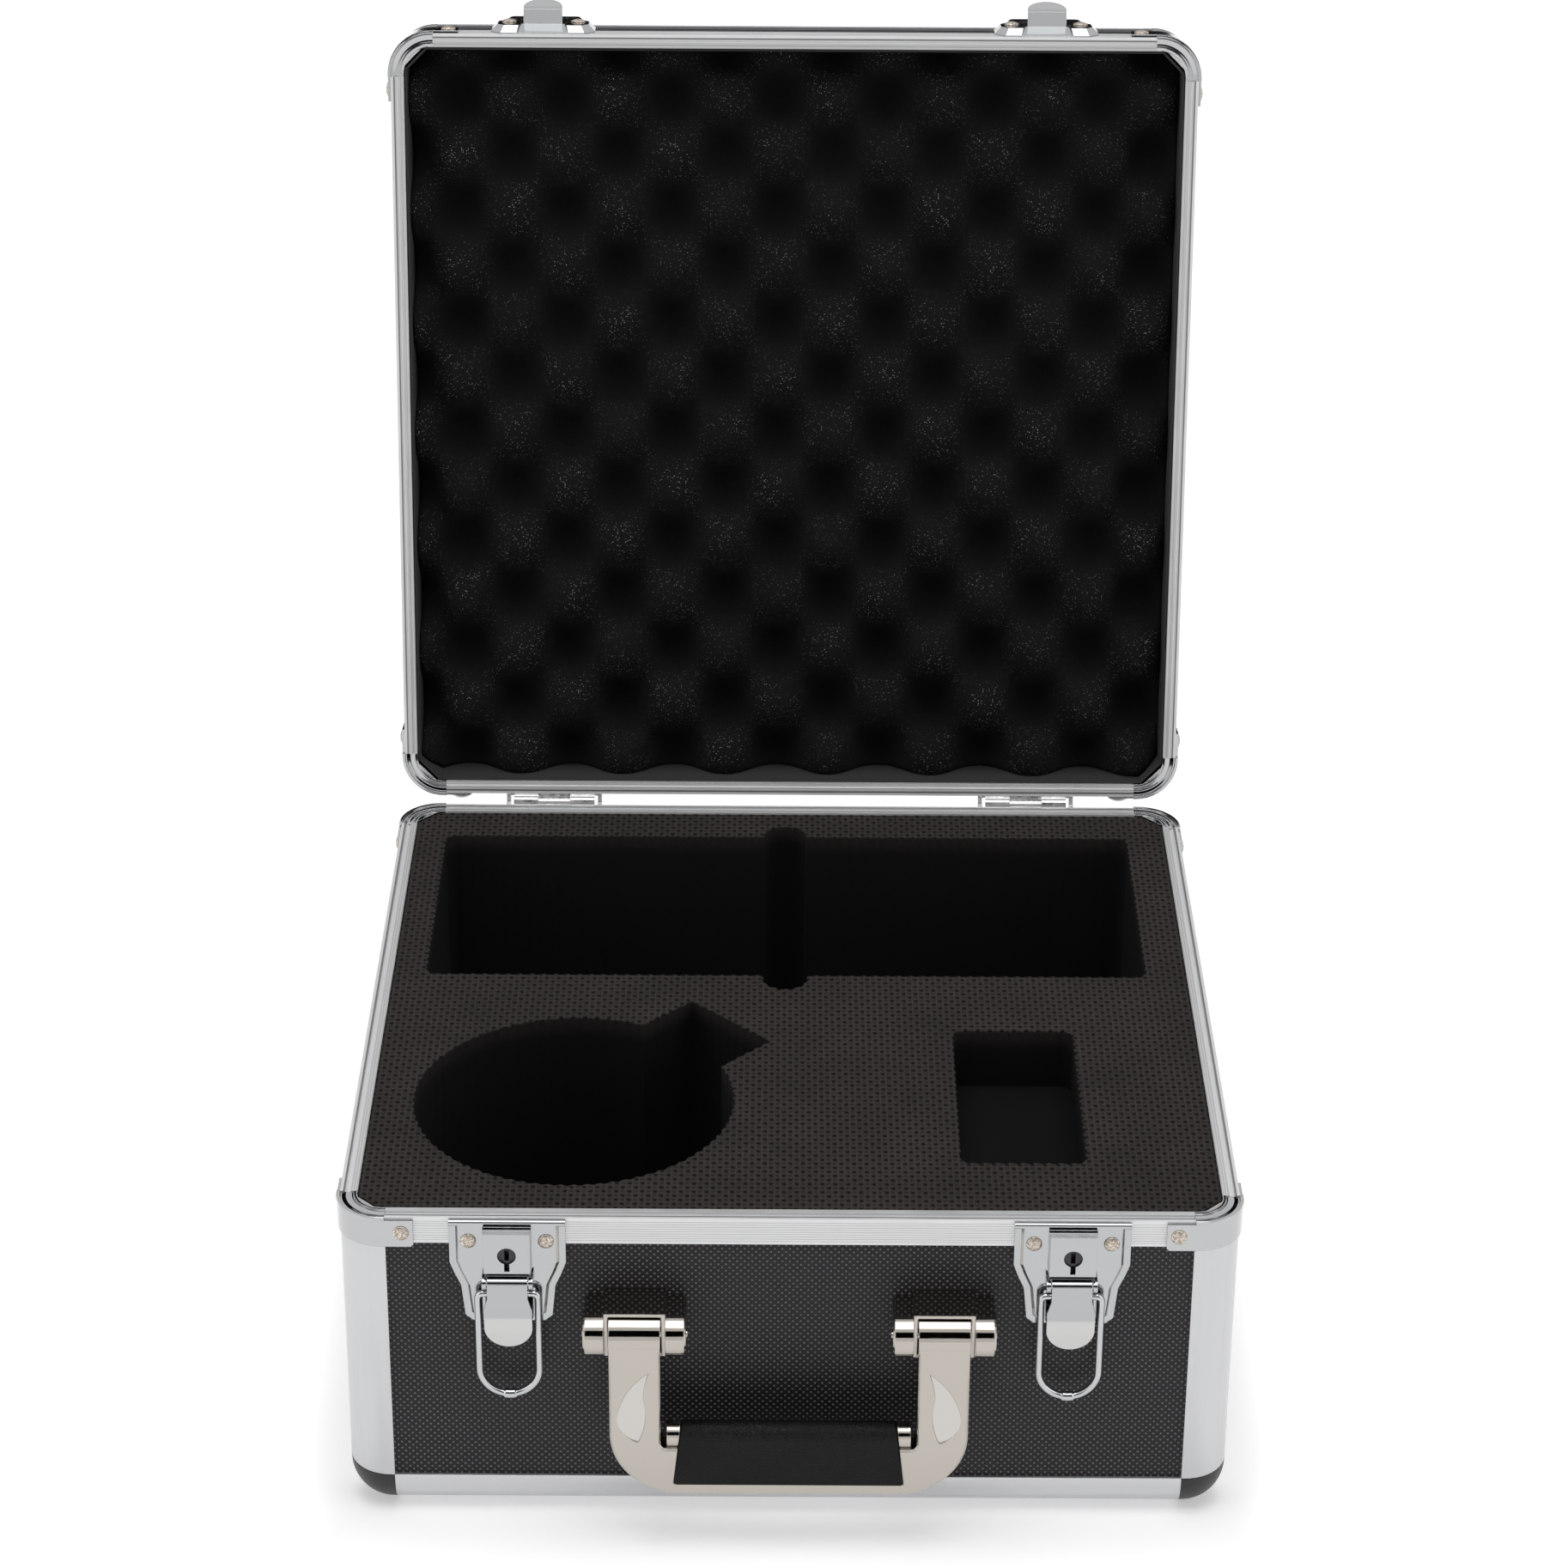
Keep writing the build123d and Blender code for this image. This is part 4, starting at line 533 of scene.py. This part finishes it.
def bail_loop(middle):
    """A ring of radius r carried along an upright path: path + r (cos a across it + sin a deep).
    r swells to the weld half way along, and closes like an ellipse at each end."""
    ends = np.array([(BAIL_END, BAIL_TOP), (-BAIL_END, BAIL_TOP)])
    corner = (BAIL_SHOULDER, BAIL_TOP - BAIL_BEND)
    corners = np.vstack([
        ends[:1], arc(corner, BAIL_BEND, 90, 0), arc((0, LOOP_CENTRE), LOOP_RADIUS, 0, -180),
        arc((-corner[0], corner[1]), BAIL_BEND, 180, 90), ends[1:],
    ])
    run = np.concatenate([[0.0], np.cumsum(np.linalg.norm(np.diff(corners, axis=0), axis=1))])
    spots = np.linspace(0, run[-1], 320)
    path = np.stack([np.interp(spots, run, corners[:, k]) for k in (0, 1)], 1)
    along = np.gradient(path, axis=0)
    along /= np.linalg.norm(along, axis=1)[:, None]
    across = np.stack([along[:, 1], -along[:, 0]], 1)
    to_weld = np.abs(spots - run[-1] / 2)
    swell = np.clip((WELD_HALF - to_weld) / (0.4 * MM) + 1, 0, 1)
    to_end = np.clip(np.minimum(spots, run[-1] - spots) / (0.6 * MM), 0, 1)
    radius = (WIRE_RADIUS + (WELD_RADIUS - WIRE_RADIUS) * swell) * np.sqrt(1 - (1 - to_end) ** 2)
    spin = np.linspace(0, 2 * pi, 18, endpoint=False)
    flat = path[:, None] + across[:, None] * (radius[:, None] * np.cos(spin))[..., None]
    rings = np.stack([flat[..., 0] + middle, BAIL_DEEP + radius[:, None] * np.sin(spin), flat[..., 1]], -1)
    return rings.reshape(-1, 3), strips(rings)


for hand, way in (("left", -1), ("right", 1)):
    wire = mesh_piece(f"wire_bail_{hand}", *bail_loop(way * LATCH_MIDDLE), wire_chrome, f"bail_{hand}",
                      "bright_chrome")
    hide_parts(f"bail_{hand}")


# Foam insert of the base: dense black foam, its face embossed with staggered pits, its pockets
# knife-cut, so that each cut edge is scalloped where it runs through the pits.
PIT_ACROSS, PIT_ALONG, PIT_DEPTH = 4.3 * MM, 5.1 * MM, 0.5 * MM
SCALLOP = 0.42 * MM
CUT_STEP = PIT_ACROSS / 5


def evenly(corners, step):
    """A closed outline through corners, set out again at even steps along its length."""
    ring = np.vstack([corners, corners[:1]])
    gaps = np.linalg.norm(np.diff(ring, axis=0), axis=1)
    along = np.concatenate([[0.0], np.cumsum(gaps)])
    count = max(8, int(round(along[-1] / step)))
    spots = np.arange(count) * along[-1] / count
    return np.stack([np.interp(spots, along, ring[:, k]) for k in (0, 1)], 1)


def outward(ring):
    """Unit normals of a closed counter-clockwise outline, pointing out of it."""
    along = np.roll(ring, -1, 0) - np.roll(ring, 1, 0)
    along /= np.linalg.norm(along, axis=1)[:, None]
    return np.stack([along[:, 1], -along[:, 0]], 1)


def scalloped(ring, depth):
    """The outline pushed in and out by a wave as long as the pits are apart."""
    wave = np.cos(np.arange(len(ring)) * CUT_STEP * 2 * pi / PIT_ACROSS)
    return ring + outward(ring) * (wave * depth)[:, None]


def within(points, ring):
    """Even-odd rule: a line going right from a point inside crosses the outline an odd number
    of times."""
    x, y = points[:, :1], points[:, 1:]
    (x0, y0), (x1, y1) = ring.T, np.roll(ring, -1, 0).T
    crossing = x0 + (y - y0) * (x1 - x0) / np.where(y1 == y0, 1, y1 - y0)
    return (((y0 <= y) != (y1 <= y)) & (crossing > x)).sum(1) % 2 == 1


def sheet_with_holes(outer, holes, inner_points):
    """Delaunay triangles over an outline less its holes. Inner points all lie on the sheet, so
    only the triangles without one are tested, by their middles."""
    loops = [outer, *holes]
    starts = np.concatenate([[0], np.cumsum([len(loop) for loop in loops])])
    edges = np.concatenate([
        np.stack([start + np.arange(len(loop)), start + (np.arange(len(loop)) + 1) % len(loop)], 1)
        for start, loop in zip(starts, loops)
    ])
    points = np.vstack([*loops, inner_points])
    found = delaunay_2d_cdt(points.tolist(), edges.tolist(), [], 0, 1e-9, False)
    flat, triangles = np.array([tuple(p) for p in found[0]]), np.array(found[2])
    on_edges = ((triangles < starts[-1]) | (triangles >= len(points))).all(1)
    middles = flat[triangles[on_edges]].mean(1)
    dropped = ~within(middles, outer)
    for hole in holes:
        dropped |= within(middles, hole)
    kept = np.ones(len(triangles), bool)
    kept[on_edges] = ~dropped
    return flat, triangles[kept]


def box_gap(x, y, centre, half, round_by):
    """Distance out of a rounded box, below 0 inside it."""
    dx = np.abs(x - centre[0]) - (half[0] - round_by)
    dy = np.abs(y - centre[1]) - (half[1] - round_by)
    return np.hypot(np.maximum(dx, 0), np.maximum(dy, 0)) + np.minimum(np.maximum(dx, dy), 0) - round_by


low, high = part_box("base_foam_insert")
CORNER_CUT = 8.0 * MM
FOAM_TOP, FOAM_LOW = high.z, low.z
LONG_CENTRE, LONG_HALF = (-1.4 * MM, 69.2 * MM), (131 * MM, 53.75 * MM)
NOTCH_CENTRE, NOTCH_HALF = (-1.8 * MM, 68.4 * MM), (8.25 * MM, 63 * MM)
ROUND_CENTRE, ROUND_RADIUS = (-74.7 * MM, -71.0 * MM), 55.5 * MM
SPOUT_HALF, SPOUT_REACH, SPOUT_ANGLE = 20 * MM, 76 * MM, 45
SMALL_CENTRE, SMALL_HALF, SMALL_DEPTH = (79 * MM, -67.3 * MM), (21.5 * MM, 44 * MM), 23 * MM
POCKET_ROUND = 4 * MM


def long_pocket_ring():
    """The long pocket's outline with a rounded notch in each long side."""
    (cx, cy), (hx, hy) = LONG_CENTRE, LONG_HALF
    nx, ny = NOTCH_CENTRE
    r, n = POCKET_ROUND, NOTCH_HALF[0]
    reach = NOTCH_HALF[1] - n
    return np.vstack([
        arc((cx - hx + r, cy - hy + r), r, 180, 270), [(nx - n, cy - hy)],
        arc((nx, ny - reach), n, 180, 360), [(nx + n, cy - hy)],
        arc((cx + hx - r, cy - hy + r), r, 270, 360), arc((cx + hx - r, cy + hy - r), r, 0, 90),
        [(nx + n, cy + hy)], arc((nx, ny + reach), n, 0, 180), [(nx - n, cy + hy)],
        arc((cx - hx + r, cy + hy - r), r, 90, 180),
    ])


def round_pocket_ring():
    """The round pocket's outline, open into a square-ended spout."""
    lean = np.degrees(np.arcsin(SPOUT_HALF / ROUND_RADIUS))
    turn = radians(SPOUT_ANGLE)
    ends = np.array([(SPOUT_REACH, -SPOUT_HALF), (SPOUT_REACH, SPOUT_HALF)])
    spin = np.array([[cos(turn), sin(turn)], [-sin(turn), cos(turn)]])
    disc = arc(ROUND_CENTRE, ROUND_RADIUS, SPOUT_ANGLE + lean, SPOUT_ANGLE + 360 - lean)
    return np.vstack([disc, ends @ spin + ROUND_CENTRE])


def small_pocket_ring():
    (cx, cy), (hx, hy), r = SMALL_CENTRE, SMALL_HALF, POCKET_ROUND
    return np.vstack([
        arc((cx - hx + r, cy - hy + r), r, 180, 270), arc((cx + hx - r, cy - hy + r), r, 270, 360),
        arc((cx + hx - r, cy + hy - r), r, 0, 90), arc((cx - hx + r, cy + hy - r), r, 90, 180),
    ])


def cut_corner_ring(low, high, cut):
    """A rectangle with its corners cut off at 45 degrees."""
    return np.array([
        (low.x + cut, low.y), (high.x - cut, low.y), (high.x, low.y + cut), (high.x, high.y - cut),
        (high.x - cut, high.y), (low.x + cut, high.y), (low.x, high.y - cut), (low.x, low.y + cut),
    ])


def levels(ring, heights, scallops):
    """Copies of an outline at heights, each scalloped by its own depth."""
    rows = [
        np.column_stack([scalloped(ring, depth), np.full(len(ring), z)])
        for z, depth in zip(heights, scallops)
    ]
    return np.stack(rows)


def foam_insert():
    """Top sheet, pocket walls, floor and sides. The sheet's pits go down by PIT_DEPTH times the
    product of two cosines, where it is above 0."""
    outer = evenly(cut_corner_ring(low, high, CORNER_CUT), CUT_STEP)
    through = [evenly(long_pocket_ring(), CUT_STEP), evenly(round_pocket_ring(), CUT_STEP)]
    small = evenly(small_pocket_ring(), CUT_STEP)
    margin = 0.75 * MM
    x, y = [
        np.arange(np.ceil((start + margin) / step), (stop - margin) / step) * step
        for start, stop, step in ((low.x, high.x, PIT_ACROSS / 4), (low.y, high.y, PIT_ALONG / 4))
    ]
    x, y = [grid.ravel() for grid in np.meshgrid(x, y)]
    pit = np.clip(np.cos(2 * pi * x / PIT_ACROSS) * np.cos(2 * pi * y / PIT_ALONG), 0, 1)
    turn = radians(SPOUT_ANGLE)
    dx, dy = x - ROUND_CENTRE[0], y - ROUND_CENTRE[1]
    along, aside = dx * cos(turn) + dy * sin(turn), dy * cos(turn) - dx * sin(turn)
    gap = np.minimum.reduce([
        box_gap(x, y, LONG_CENTRE, LONG_HALF, POCKET_ROUND),
        box_gap(x, y, NOTCH_CENTRE, NOTCH_HALF, NOTCH_HALF[0]),
        np.hypot(dx, dy) - ROUND_RADIUS,
        box_gap(along, aside, (SPOUT_REACH / 2, 0), (SPOUT_REACH / 2, SPOUT_HALF), 0),
        box_gap(x, y, SMALL_CENTRE, SMALL_HALF, POCKET_ROUND),
        (min(high.x, -low.x) + min(high.y, -low.y) - CORNER_CUT - np.abs(x) - np.abs(y)) * 0.7,
    ])
    kept = gap > margin
    holes = [*through, small]
    flat, top_faces = sheet_with_holes(
        scalloped(outer, -SCALLOP / 2), [scalloped(h, SCALLOP) for h in holes],
        np.stack([x[kept], y[kept]], 1),
    )
    outline_count = sum(map(len, [outer, *holes]))
    rng = np.random.default_rng(7)
    heights = np.full(len(flat), FOAM_TOP - PIT_DEPTH * 0.35)
    heights[outline_count:] = FOAM_TOP - pit[kept] * PIT_DEPTH
    heights[outline_count:] -= rng.uniform(0, 0.12 * MM, len(flat) - outline_count)
    parts = [(np.column_stack([flat, heights]), top_faces)]
    edge_z = FOAM_TOP - PIT_DEPTH * 0.35
    shaped = [0, 0.8 * MM, 2.5 * MM, 6 * MM]
    for ring, floor, sign in [(outer, FOAM_LOW, -0.5), (small, FOAM_TOP - SMALL_DEPTH, 1),
                              (through[0], FOAM_LOW, 1), (through[1], FOAM_LOW, 1)]:
        zs = [edge_z - d for d in shaped] + [floor]
        rings = levels(ring, zs, [SCALLOP * sign * s for s in (1, 0.8, 0.4, 0.15, 0)])
        parts.append((rings.reshape(-1, 3), strips(rings)))
    base, base_faces = sheet_with_holes(outer, through, np.zeros((0, 2)))
    parts.append((np.column_stack([base, np.full(len(base), FOAM_LOW)]), base_faces))
    floor = np.column_stack([small, np.full(len(small), FOAM_TOP - SMALL_DEPTH)])
    parts.append((floor, [list(range(len(floor)))]))
    return parts


def foam_finish(name, low_tone, high_tone, cell, depth, specks=0.0, tips=None, face=None):
    """Matte foam: cells as fine noise, cloudy tone, and pale specks of open cells, kept as painted light near
    tips, the level of the lid foam's peaks when it is shut. face is the level of an embossed face: its
    pits carry painted shade, and so do the cuts below it, darker with depth."""
    finish = Finish(name, high_tone, 0.95, Specular_IOR_Level=0.12)
    cells = finish.noise(finish.place(), cell, 3.0, 0.7)
    cloud = finish.noise(finish.place(), 45.0, 3.0)
    shade = finish.math("MULTIPLY_ADD", cells, 0.6, finish.math("MULTIPLY", cloud, 0.4))
    if face:
        axes = finish.axes(finish.place())
        waves = [finish.math("COSINE", finish.math("MULTIPLY", axes[a], 2 * pi / pitch))
                 for a, pitch in (("X", PIT_ACROSS), ("Y", PIT_ALONG))]
        weave = finish.math("MULTIPLY", *waves)
        # Painted shade: darker in the pits, and fainter at the points between them.
        ridge = finish.math("MULTIPLY", finish.between(weave, 0.05, 0.8, 1.0, 0.15),
                            finish.between(weave, -0.8, -0.1, 0.55, 1.0))
        # Painted shade down the cut walls, darker with depth below the face.
        depth_shade = finish.between(axes["Z"], face - 9 * MM, face - 1 * MM, 0.07, 0.42)
        on_face = finish.between(axes["Z"], face - 0.9 * MM, face - 0.7 * MM)
        blend = finish.node("ShaderNodeMix", on_face, data_type="FLOAT").node
        finish.tree.links.new(depth_shade, blend.inputs[2])
        finish.tree.links.new(ridge, blend.inputs[3])
        shade = finish.math("MULTIPLY", blend.outputs[0], finish.math("MULTIPLY_ADD", shade, 1.4, 0.12))
    tone = finish.tint(shade, low_tone, high_tone)
    if specks:
        points = finish.node("ShaderNodeTexVoronoi").node
        finish.tree.links.new(finish.place(), points.inputs["Vector"])
        points.inputs["Scale"].default_value = 1600.0
        lit = finish.between(finish.axes(points.outputs["Color"])["X"], 0.55, 1.0)
        dots = finish.between(points.outputs["Distance"], 0.12, 0.30, 1.0, 0.0)
        patches = finish.between(finish.noise(finish.place(), 70.0, 2.0), 0.35, 0.65, 0.2, 1.0)
        shut_level = finish.axes(finish.place(True))["Z"]
        # Painted light: the pale specks are kept to the peaks and fade down into the hollows.
        painted_peak_light = finish.between(shut_level, tips + 2 * MM, tips + 13 * MM, 1.0, 0.0)
        patches = finish.math("MULTIPLY", patches, painted_peak_light)
        bright = finish.math("MULTIPLY", finish.math("MULTIPLY", lit, dots), patches)
        mixed = finish.node("ShaderNodeMix", data_type="RGBA").node
        finish.tree.links.new(bright, mixed.inputs[0])
        finish.tree.links.new(tone, mixed.inputs[6])
        mixed.inputs[7].default_value = (specks, specks, specks, 1.0)
        tone = mixed.outputs[2]
    finish.set("Base Color", tone)
    finish.relief(cells, depth)
    return finish


insert_foam = foam_finish("insert_foam", (0.004, 0.004, 0.004), (0.055, 0.049, 0.0455), 1500.0, 0.15 * MM,
                          face=FOAM_TOP)
insert = mesh_piece("foam_insert_cut", *joined(foam_insert()), insert_foam, "base", "insert_foam", False)
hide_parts("base_foam_insert")


# Foam pad under the insert: a plain slab of the same foam that shows as the pockets' floor, coloured darker
# as painted shade.
# It lies loose on the bottom board, its four corners cut off as the insert's are.
def slab(node, cut, edge):
    """A slab with cut corners, its top and bottom edges softened by two more rings."""
    slab_low, slab_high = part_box(node)
    ring = evenly(cut_corner_ring(slab_low, slab_high, cut), 4 * MM)
    centre = ring.mean(0)
    inset = lambda d: ring - outward(ring) * d
    rows = [(edge, slab_low.z), (0, slab_low.z + edge), (0, slab_high.z - edge), (edge, slab_high.z)]
    rings = np.stack([np.column_stack([inset(d), np.full(len(ring), z)]) for d, z in rows])
    ends = [list(range(len(ring))), list(range(3 * len(ring), 4 * len(ring)))]
    return rings.reshape(-1, 3), [*strips(rings).tolist(), *ends]


# Painted shade: the pad's tone is darker than the insert's, for the deep pockets it floors.
pad_foam = foam_finish("pad_foam", (0.003, 0.003, 0.003), (0.014, 0.013, 0.013), 900.0, 0.3 * MM)
pad = mesh_piece("foam_pad_slab", *slab("base_foam_pad", CORNER_CUT, 1 * MM), pad_foam, "base",
                 "insert_foam", False)
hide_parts("base_foam_pad")


# Convoluted foam of the lid: soft open-cell foam cut into rows of peaks and hollows,
# glued to the lid's top board. Its cut cells show as fine pale specks, kept to the peaks as painted light.
CRATE_PITCH_X, CRATE_PITCH_Y = 40 * MM, 43 * MM
CRATE_X, CRATE_FROM_HINGE_SIDE = -5.5 * MM, 33.5 * MM
CRATE_TIP, CRATE_BACK = 125.3 * MM, 154.9 * MM
CRATE_HEIGHT = 17 * MM
CRATE_HALF = (143.7 * MM, 141.2 * MM)
CRATE_STEP = 1.7 * MM


def crate_foam():
    """A grid warped into the cut-cornered outline. Height is a product of cosines, with blunt
    peaks and narrower hollows, and a slow drift that keeps the rows from looking machined."""
    half_x, half_y = CRATE_HALF
    columns = int(2 * half_x / CRATE_STEP)
    rows = int(2 * half_y / CRATE_STEP)
    s, t = np.meshgrid(np.linspace(-1, 1, columns), np.linspace(-1, 1, rows))
    y = t * half_y
    width = half_x - np.maximum(0, CORNER_CUT - (half_y - np.abs(y)))
    x = s * width
    peak_y = 147.5 * MM - CRATE_FROM_HINGE_SIDE
    wave = np.cos(2 * pi * (x - CRATE_X) / CRATE_PITCH_X) * np.cos(2 * pi * (y - peak_y) / CRATE_PITCH_Y)
    drift = 0.06 * np.sin(x / (31 * MM) + 1.0) * np.cos(y / (37 * MM))
    share = np.clip((wave + drift + 1) / 2, 0, 1)
    share = share * share * (3 - 2 * share) * 0.55 + share * 0.45
    z = CRATE_TIP + CRATE_HEIGHT * (1 - share)
    top = np.stack([x, y, z], -1)
    back = top.copy()
    back[..., 2] = CRATE_BACK
    rim = lambda g: np.vstack([g[0], g[1:, -1], g[-1, -2::-1], g[-2:0:-1, 0]])
    sides = np.stack([rim(top), rim(back)])
    parts = [
        (top.reshape(-1, 3), strips(top, closed=False)),
        (sides.reshape(-1, 3), strips(sides)),
        (rim(back), [list(range(len(rim(back))))]),
    ]
    verts, faces = joined(parts)
    return opened(verts), faces


open_cell = foam_finish("open_cell_foam", (0.002, 0.002, 0.0022), (0.0115, 0.0115, 0.012), 1700.0,
                        0.25 * MM, specks=0.65, tips=CRATE_TIP)
crate = mesh_piece("convoluted_foam", *crate_foam(), open_cell, "lid", "crate_foam")
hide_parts("lid_crate_foam")


# Lining of the lid: a thin black sheet stood on edge round the convoluted foam.
# It is matte, with a faint grain.
lining = Finish("lining_sheet", (0.022, 0.022, 0.023), 0.8)
lining.relief(lining.noise(lining.place(), 1200.0, 3.0), 0.05 * MM)
give(lining, "lid_lining")


# Handle grip: a padded core wrapped in black leather-look vinyl, rolled over the top and drawn
# tight down the front, its ends tucked into the frame's collars.
GRIP_ROLL, GRIP_TOP_HALF = 4.9 * MM, 36.2 * MM


def grip():
    """A section carried along x: a roll over a web that thickens to its foot. Its half length falls
    evenly from foot to top, and its ends are drawn in by a quarter of an ellipse."""
    g_low, g_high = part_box("handle_grip")
    middle, half = (g_low.y + g_high.y) / 2, (g_high.y - g_low.y) / 2
    section = np.vstack([
        arc((0, g_high.z - GRIP_ROLL), GRIP_ROLL, 180, 0), [(half, g_low.z), (-half, g_low.z)],
    ])[::-1]
    ring = evenly(section, 0.7 * MM)
    along = np.sin(np.linspace(-pi / 2, pi / 2, 80))
    drawn_in = np.clip((np.abs(along) - 0.97) / 0.03, 0, 1)
    inset = 0.15 * MM + 1.1 * MM * (1 - np.sqrt(1 - 0.99 * drawn_in**2))
    rings = ring[None] - outward(ring)[None] * inset[:, None, None]
    rise = (rings[..., 1] - g_low.z) / (g_high.z - g_low.z)
    x = along[:, None] * (g_high.x + (GRIP_TOP_HALF - g_high.x) * rise)
    verts = np.stack([x, rings[..., 0] + middle, rings[..., 1]], -1)
    count = len(ring)
    ends = [list(range(count)), list(range(len(verts) * count - count, len(verts) * count))]
    return verts.reshape(-1, 3), [*strips(verts).tolist(), *ends]


leather = Finish("grip_leather", (0.003, 0.003, 0.0032), 0.38, Specular_IOR_Level=0.16)
creases = leather.node("ShaderNodeTexVoronoi", feature="DISTANCE_TO_EDGE").node
leather.tree.links.new(leather.place(), creases.inputs["Vector"])
creases.inputs["Scale"].default_value = 1300.0
pores = leather.between(creases.outputs[0], 0.0, 0.25)
rub = leather.noise(leather.place(), 60.0, 3.0)
leather.set("Roughness", leather.between(rub, 0.3, 0.7, 0.30, 0.46))
leather.relief(pores, 0.10 * MM)
grip_piece = mesh_piece("leather_grip", *grip(), leather, "handle", "grip_leather")
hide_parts("handle_grip")


# Studio: a white floor that keeps the case's soft shadow, its glow painted light that narrows the shadow, a
# white surround, one large soft box overhead, one each side, and a low fill from the front. Two black cards,
# one behind the camera and one low behind the case, show only in the metal, where they draw the chrome's dark
# lines.
def stage_floor():
    mesh = bpy.data.meshes.new("floor")
    reach = 6.0
    mesh.from_pydata([(-reach, -reach, 0), (reach, -reach, 0), (reach, reach, 0), (-reach, reach, 0)],
                     [], [(0, 1, 2, 3)])
    floor = bpy.data.objects.new("floor", mesh)
    bpy.context.scene.collection.objects.link(floor)
    finish = Finish("studio_floor", (0.9, 0.9, 0.9), 0.9)
    edges_low, edges_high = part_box("base_bottom_edges")
    axes = finish.axes(finish.place())
    beside, before = [
        finish.math("SUBTRACT", finish.math("ABSOLUTE", axes[axis]), half)
        for axis, half in (("X", edges_high.x), ("Y", -edges_low.y))
    ]
    gap = finish.math("MAXIMUM", finish.math("MULTIPLY", beside, SIDE_LIGHT), before)
    # Painted light: the floor glows for camera, glossy and transmission rays, least at the case's foot and
    # more with distance, so the shadow shows only in a narrow band in front.
    near = finish.between(gap, 0.0, SHADOW_REACH, *NEAR_LIFT)
    away = finish.node("ShaderNodeVectorMath", finish.place(), operation="LENGTH", out=1)
    lift = finish.math("ADD", near, finish.between(away, 0.5, 2.6, 0.0, 1 - NEAR_LIFT[1]))
    paths = finish.node("ShaderNodeLightPath").node
    seen = finish.math("MAXIMUM", paths.outputs["Is Camera Ray"], paths.outputs["Is Glossy Ray"])
    seen = finish.math("MAXIMUM", seen, paths.outputs["Is Transmission Ray"])
    finish.set("Emission Color", (1.0, 1.0, 1.0, 1.0))
    finish.set("Emission Strength", finish.math("MULTIPLY", seen, lift))
    mesh.materials.append(finish.material)


def black_card(name, middle, half_width, low_edge, high_edge):
    """An upright card across the view, which only reflections see."""
    mesh = bpy.data.meshes.new(name)
    x, y = middle
    mesh.from_pydata([(x - half_width, y, low_edge), (x + half_width, y, low_edge),
                      (x + half_width, y, high_edge), (x - half_width, y, high_edge)], [], [(0, 1, 2, 3)])
    card = bpy.data.objects.new(name, mesh)
    bpy.context.scene.collection.objects.link(card)
    finish = Finish(f"{name}_felt", (0.01, 0.01, 0.01), 1.0, Specular_IOR_Level=0.0)
    mesh.materials.append(finish.material)
    card.visible_camera = card.visible_diffuse = card.visible_shadow = card.visible_transmission = False


def soft_box(name, place, target, size, power, mirrored=True):
    lamp = bpy.data.lights.new(name, "AREA")
    lamp.shape, lamp.size, lamp.size_y, lamp.energy = "RECTANGLE", *size, power
    thing = bpy.data.objects.new(name, lamp)
    bpy.context.scene.collection.objects.link(thing)
    thing.location = place
    thing.rotation_euler = (Vector(target) - Vector(place)).to_track_quat("-Z", "Y").to_euler()
    thing.visible_glossy = mirrored


SHADOW_REACH, SIDE_LIGHT, NEAR_LIFT = 0.09, 3.0, (0.34, 0.64)
stage_floor()
black_card("front_card", (0, -3.0), 2.5, 1.0, 3.2)
black_card("back_card", (0, 4.0), 3.0, 0.05, 1.3)
MIDDLE = (0, 0, 0.15)
soft_box("overhead", (0.0, -0.3, 1.7), MIDDLE, (1.3, 1.2), 13)
soft_box("left_box", (-1.5, -0.5, 0.8), MIDDLE, (0.7, 1.2), 4)
soft_box("right_box", (1.5, -0.5, 0.8), MIDDLE, (0.7, 1.2), 4)
soft_box("front_fill", (0.0, -2.2, 0.9), MIDDLE, (1.2, 0.6), 3, mirrored=False)

world = bpy.data.worlds.new("surround")
bpy.context.scene.world = world
world.use_nodes = True
tree = world.node_tree
sky = tree.nodes["Background"]
sky.inputs["Color"].default_value = (1, 1, 1, 1)
paths = tree.nodes.new("ShaderNodeLightPath")
shown = paths.outputs["Is Camera Ray"]
for ray in ("Is Glossy Ray", "Is Transmission Ray"):
    either = tree.nodes.new("ShaderNodeMath")
    either.operation = "MAXIMUM"
    tree.links.new(shown, either.inputs[0])
    tree.links.new(paths.outputs[ray], either.inputs[1])
    shown = either.outputs[0]
lift = tree.nodes.new("ShaderNodeMapRange")
lift.inputs["To Min"].default_value = 0.22
tree.links.new(shown, lift.inputs["Value"])
tree.links.new(lift.outputs[0], sky.inputs["Strength"])

bpy.context.scene.view_settings.view_transform = "Standard"
